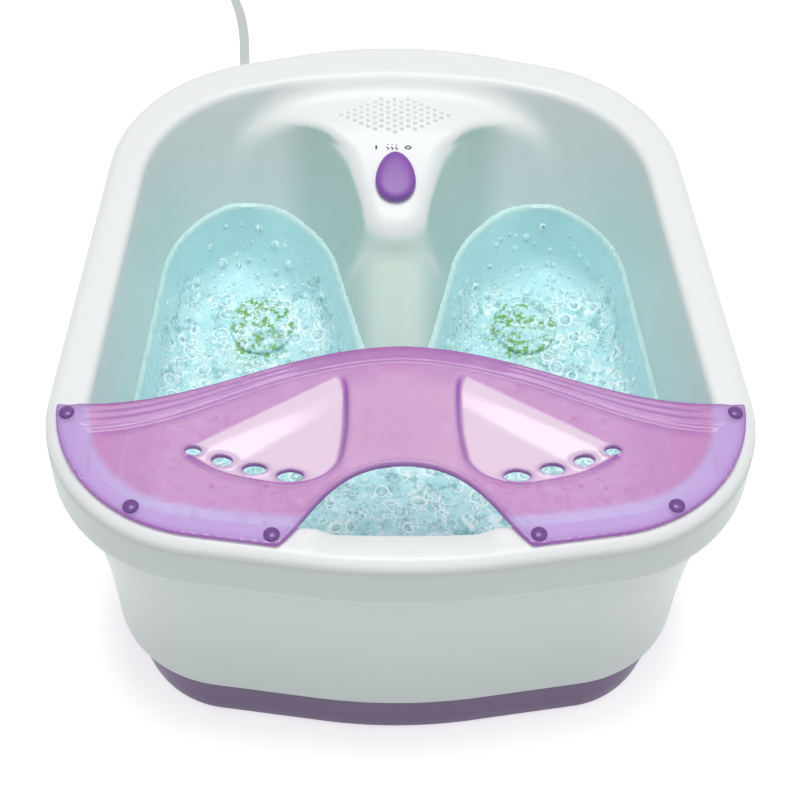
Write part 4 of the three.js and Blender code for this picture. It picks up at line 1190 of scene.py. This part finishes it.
def make_marks(material):
    """Generic settings: a bar, three heat waves with three dots, and a ring."""
    parts = [flat_mark([(-12.1, 122.4), (-11, 122.4), (-11, 124.9), (-12.1, 124.9)])]
    for x in (-4.5, -1.9, 0.7):
        wave = [(x + 0.5 * math.sin(t * 5), 122.2 + t * 1.8) for t in np.linspace(0, 1, 7)]
        there = [(px + 0.45, py) for px, py in wave]
        back = [(px - 0.45, py) for px, py in reversed(wave)]
        parts.append(flat_mark(there + back))
        parts.append(flat_mark(circle_points(10) * (0.4, 0.35) + (x, 125.4)))
    parts.append(ring_mark(7.9, 123.6, (2.1, 1.25), (1.25, 0.6)))
    points, faces = [], []
    for part_points, part_faces in parts:
        add_part(points, faces, part_points, part_faces)
    marks = mesh_object("setting_marks", points, faces, material, "basin", 20)


# The knob's size at each height above the console's face.
KNOB_PROFILE = [(0.955, 0.8), (0.985, 1), (1, 1.5), (1, 2.8), (0.985, 4), (0.95, 4.9), (0.89, 5.5),
                (0.78, 5.95), (0.6, 6.25), (0.35, 6.45), (0.1, KNOB["height"])]


def make_knob(material):
    """The egg-shaped knob, tapered towards the heel end, with a soft edge and a low crown."""
    egg = circle_points(64) * (KNOB["width"] / 2, KNOB["length"] / 2)
    egg[:, 0] *= 1 - 0.17 * egg[:, 1] / (KNOB["length"] / 2)
    points = np.vstack([np.column_stack([egg * s, np.full(len(egg), z)]) for s, z in KNOB_PROFILE])
    tilt = np.array(Matrix.Rotation(math.radians(KNOB["slope"]), 3, "X"))
    points = points @ tilt.T + (0, KNOB["y"], KNOB["z"])
    faces = skin_faces(len(KNOB_PROFILE), len(egg))
    piece = mesh_object("selector_cap", points, faces, material, "selector", 40)
    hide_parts("selector_knob")


# ---------------------------------------------------------------- power cord

CORD_WIDTH, CORD_THICK = 8, 4.2
EXIT = (-88, 195, 13)
CORD_ROUTE = [(-88, 195.3, 13), (-88.3, 211, 12.2), (-89.5, 227, 9), (-91.5, 243, 5),
              (-94, 260, 2.6), (-97, 280, 2.3), (-101.5, 310, 2.3), (-106, 345, 2.3),
              (-109.3, 378, 2.3), (-111.3, 408, 2.3), (-112.9, 440, 2.3), (-115.6, 466, 2.3),
              (-119.8, 486, 2.5), (-127, 512, 3.6), (-132.2, 541.4, 5.2)]
COIL = dict(x=-86, y=575, slots=(46.8, 42.4, 38.0), low=5.8, high=14.2, turns=5.25, per_turn=40)
TAIL_ROUTE = [(-76, 621.2, 14), (-66, 620.2, 13.2), (-55, 617.6, 11.8), (-44, 613.4, 10.6),
              (-32, 607.6, 10), (-20.5, 600.9, 9.9)]
PLUG = dict(x=-19.6, y=601.2, z=10, turn=-39)


def coil_points():
    """The wound turns: clockwise from the west side, inwards, up, and outwards again."""
    radii = [COIL["slots"][k] for k in (0, 1, 2, 2, 1, 0)]
    heights = [COIL["low"]] * 3 + [COIL["high"]] * 3
    steps = int(COIL["turns"] * COIL["per_turn"])
    points = []
    for turn in COIL["turns"] * np.arange(steps + 1) / steps:
        # Each change of slot or layer lies on the east side, half a turn after the start.
        at = turn + 0.5
        slot = int(math.floor(at - 0.2))
        t = smooth_step(at - slot, 0.8, 1.2)
        slot = min(slot, 4)
        radius = radii[slot] * (1 - t) + radii[slot + 1] * t
        z = heights[slot] * (1 - t) + heights[slot + 1] * t
        angle = math.pi - 2 * math.pi * turn
        points.append((COIL["x"] + radius * math.cos(angle),
                       COIL["y"] + radius * math.sin(angle), z))
    return points


def make_cord(material):
    """A flat twin flex: on its flat along the floor, on its edge in the coil."""
    lead = spline(CORD_ROUTE + coil_points()[:1], 4)
    coil = coil_points()
    tail = spline([coil[-1]] + TAIL_ROUTE, 5)
    path = np.vstack([lead[:-1], coil, tail[1:]])
    along = np.gradient(path, axis=0)
    along /= np.linalg.norm(along, axis=1)[:, None]
    across = np.cross((0, 0, 1), along)
    across /= np.linalg.norm(across, axis=1)[:, None]
    up = np.cross(along, across)
    order = np.arange(len(path))
    first, last = len(lead) - 1, len(lead) - 1 + len(coil)
    turn = smooth_step(order, first - 16, first + 2) * math.pi / 2
    turn *= 1 - smooth_step(order, last - 3, last + 22)
    c, s = circle_points(20).T
    # The section: two wires side by side, with a groove between them on both faces.
    half_width = CORD_WIDTH / 2 * c
    half_thick = CORD_THICK / 2 * (1 - 0.28 * np.exp(-(c / 0.26) ** 2)) * squared(s, 0.8)
    rings = []
    for p, a, u, t in zip(path, across, up, turn):
        wide = a * math.cos(t) + u * math.sin(t)
        thin = u * math.cos(t) - a * math.sin(t)
        rings.append(p + np.outer(half_width, wide) + np.outer(half_thick, thin))
    faces = skin_faces(len(path), len(c))
    cord = mesh_object("flex", np.vstack(rings), faces, material, "basin", 50)
    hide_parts("power_cord", "cord_coil", "cord_tail")
    return cord, path


def lengthwise_rings(levels, count, power=1):
    """Upright rounded-square sections (half width, half height, y), stacked along +Y."""
    c, s = circle_points(count).T
    return np.vstack([np.column_stack([-half_width * squared(c, power), np.full(count, y),
                                       half_height * squared(s, power)])
                      for half_width, half_height, y in levels])


def make_strain_relief(material):
    """A tapered rubber boot with flex grooves around the cord's exit."""
    sides = 32
    levels = [(6.3, 4.4, 160), (6.3, 4.4, 172), (6.2, 4.3, 174)]
    for k in range(6):
        y = 175.2 + 3 * k
        shrink = 1 - 0.042 * k
        ridge, groove = (6 * shrink, 4.15 * shrink), (5.1 * shrink, 3.4 * shrink)
        levels += [(*ridge, y), (*ridge, y + 1.6), (*groove, y + 1.9), (*groove, y + 2.7)]
    levels += [(4.7, 3.1, 193.6), (4.6, 3, 194.8)]
    points = lengthwise_rings(levels, sides) + (EXIT[0], 0, EXIT[2])
    faces = skin_faces(len(levels), sides)
    piece = mesh_object("cord_boot", points, faces, material, "basin", 40)
    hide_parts("strain_relief")
    return piece


# The plug's half width and half height, from its neck to its blades.
PLUG_LEVELS = [(4.6, 3, 0.3), (4.8, 3.2, 2), (5.4, 3.8, 3), (5.4, 3.8, 4.6), (4.9, 3.4, 5.2),
               (4.9, 3.4, 6.2), (5.6, 4, 7), (5.6, 4, 8.8), (5.2, 3.7, 9.4), (6, 4.5, 11),
               (7.6, 5.8, 14.5), (9.8, 7.6, 18), (11.8, 9, 21.5), (12.3, 9.3, 25), (11.6, 8.8, 29),
               (11.8, 9, 32), (12.4, 9.4, 35), (12.2, 9.2, 37.6), (11.2, 8.2, 38.9), (6, 4, 39)]


def make_plug(material):
    """A moulded two-blade plug with a grip waist and a ribbed neck."""
    sides = 40
    turn = np.array(Matrix.Rotation(math.radians(-90 + PLUG["turn"]), 3, "Z"))
    points = lengthwise_rings(PLUG_LEVELS, sides, 0.7) @ turn.T + (PLUG["x"], PLUG["y"], PLUG["z"])
    faces = skin_faces(len(PLUG_LEVELS), sides)
    piece = mesh_object("plug", points, faces, material, "basin", 40)
    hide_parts("plug_body")
    return piece


def make_tie(material):
    """A soft strap around the wound turns, in the CAD tie's place."""
    low, high = (np.array(corner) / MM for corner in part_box("coil_tie"))
    middle, half = (low + high) / 2, (high - low) / 2
    sides, thick = 40, 1.1
    c, s = squared(circle_points(sides), 0.35).T
    rings = [np.column_stack([middle[0] + (half[0] - shrink) * c, np.full(sides, y),
                              middle[2] + (half[2] - shrink) * s])
             for y, shrink in ((low[1], 0), (high[1], 0), (high[1], thick), (low[1], thick))]
    faces = skin_faces(4, sides, hoop=True)
    piece = mesh_object("coil_strap", np.vstack(rings), faces, material, "basin", 40)
    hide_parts("coil_tie")
    return piece


# ---------------------------------------------------------------- carried-over CAD parts

def dress_cad_parts():
    """Procedural materials on the CAD nodes that show as they are."""
    steel = metal("bright_steel", (0.72, 0.74, 0.76), 0.3)
    rubber = plastic("soft_rubber", RUBBER_BLACK, 0.75, 0.25, 1400, 0.2)
    grey = plastic("grey_moulding", (0.34, 0.37, 0.39), 0.45)
    black = plastic("black_moulding", (0.02, 0.021, 0.023), 0.42)
    dressing = {
        steel: ["knob_shaft", "motor_can", "motor_end_cap", "motor_shaft", "eccentric_weight",
                "heater_plate"] + [f"base_screw_{i}" for i in range(1, 5)],
        rubber: ["shaft_seal", "motor_grommet_left", "motor_grommet_right", "switch_lead",
                 "motor_lead", "heater_lead"] + [f"rubber_foot_{i}" for i in range(1, 5)],
        grey: ["air_hose_left", "air_hose_right", "air_manifold_left", "air_manifold_right",
               "blower_housing", "blower_cover", "impeller", "thermal_fuse"],
        black: ["rotary_switch", "motor_bracket", "thermostat", "terminal_block"],
        metal("enamelled_copper", (0.55, 0.25, 0.09), 0.35): ["motor_armature"],
        metal("plug_brass", (0.78, 0.62, 0.28), 0.25): ["plug_blade_left", "plug_blade_right"],
    }
    for material, names in dressing.items():
        for name in names:
            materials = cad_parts[name].data.materials
            materials.clear()
            materials.append(material)


# ---------------------------------------------------------------- the whole object

add_camera()
add_stage()

cord_material = plastic("flex_pvc", (0.72, 0.75, 0.75), 0.34, grain=1200, grain_strength=0.1)
strap_material = plastic("strap_rubber", RUBBER_BLACK, 0.7, specular=0.25)
cord, cord_path = make_cord(cord_material)
boot = make_strain_relief(cord_material)
plug = make_plug(cord_material)
tie = make_tie(strap_material)

white = gloss("white_gloss", WHITE, 0.32)
# Painted shade: the white casing is coloured the grey it has in shade.
shade_painted_wall = gloss("shade_painted_wall", PAINTED_WALL_SHADE, 0.28)
violet = plastic("violet_satin", (0.29, 0.105, 0.47), 0.36, grain=800, grain_strength=0.04)
make_tub()
make_outer_shell(shade_painted_wall)
make_base(plastic("lilac_base", (0.165, 0.112, 0.215), 0.38, grain=900, grain_strength=0.05))
gel = gel_material()
make_bed(gel)
make_bubbles(gel)
make_pads(gel)
make_guard()
make_pegs(plastic("peg_violet", (0.20, 0.085, 0.32), 0.22, grain_strength=0.02))
make_nubs(white)
make_marks(plastic("print_black", (0.015, 0.015, 0.017), 0.5))
make_knob(violet)
dress_cad_parts()
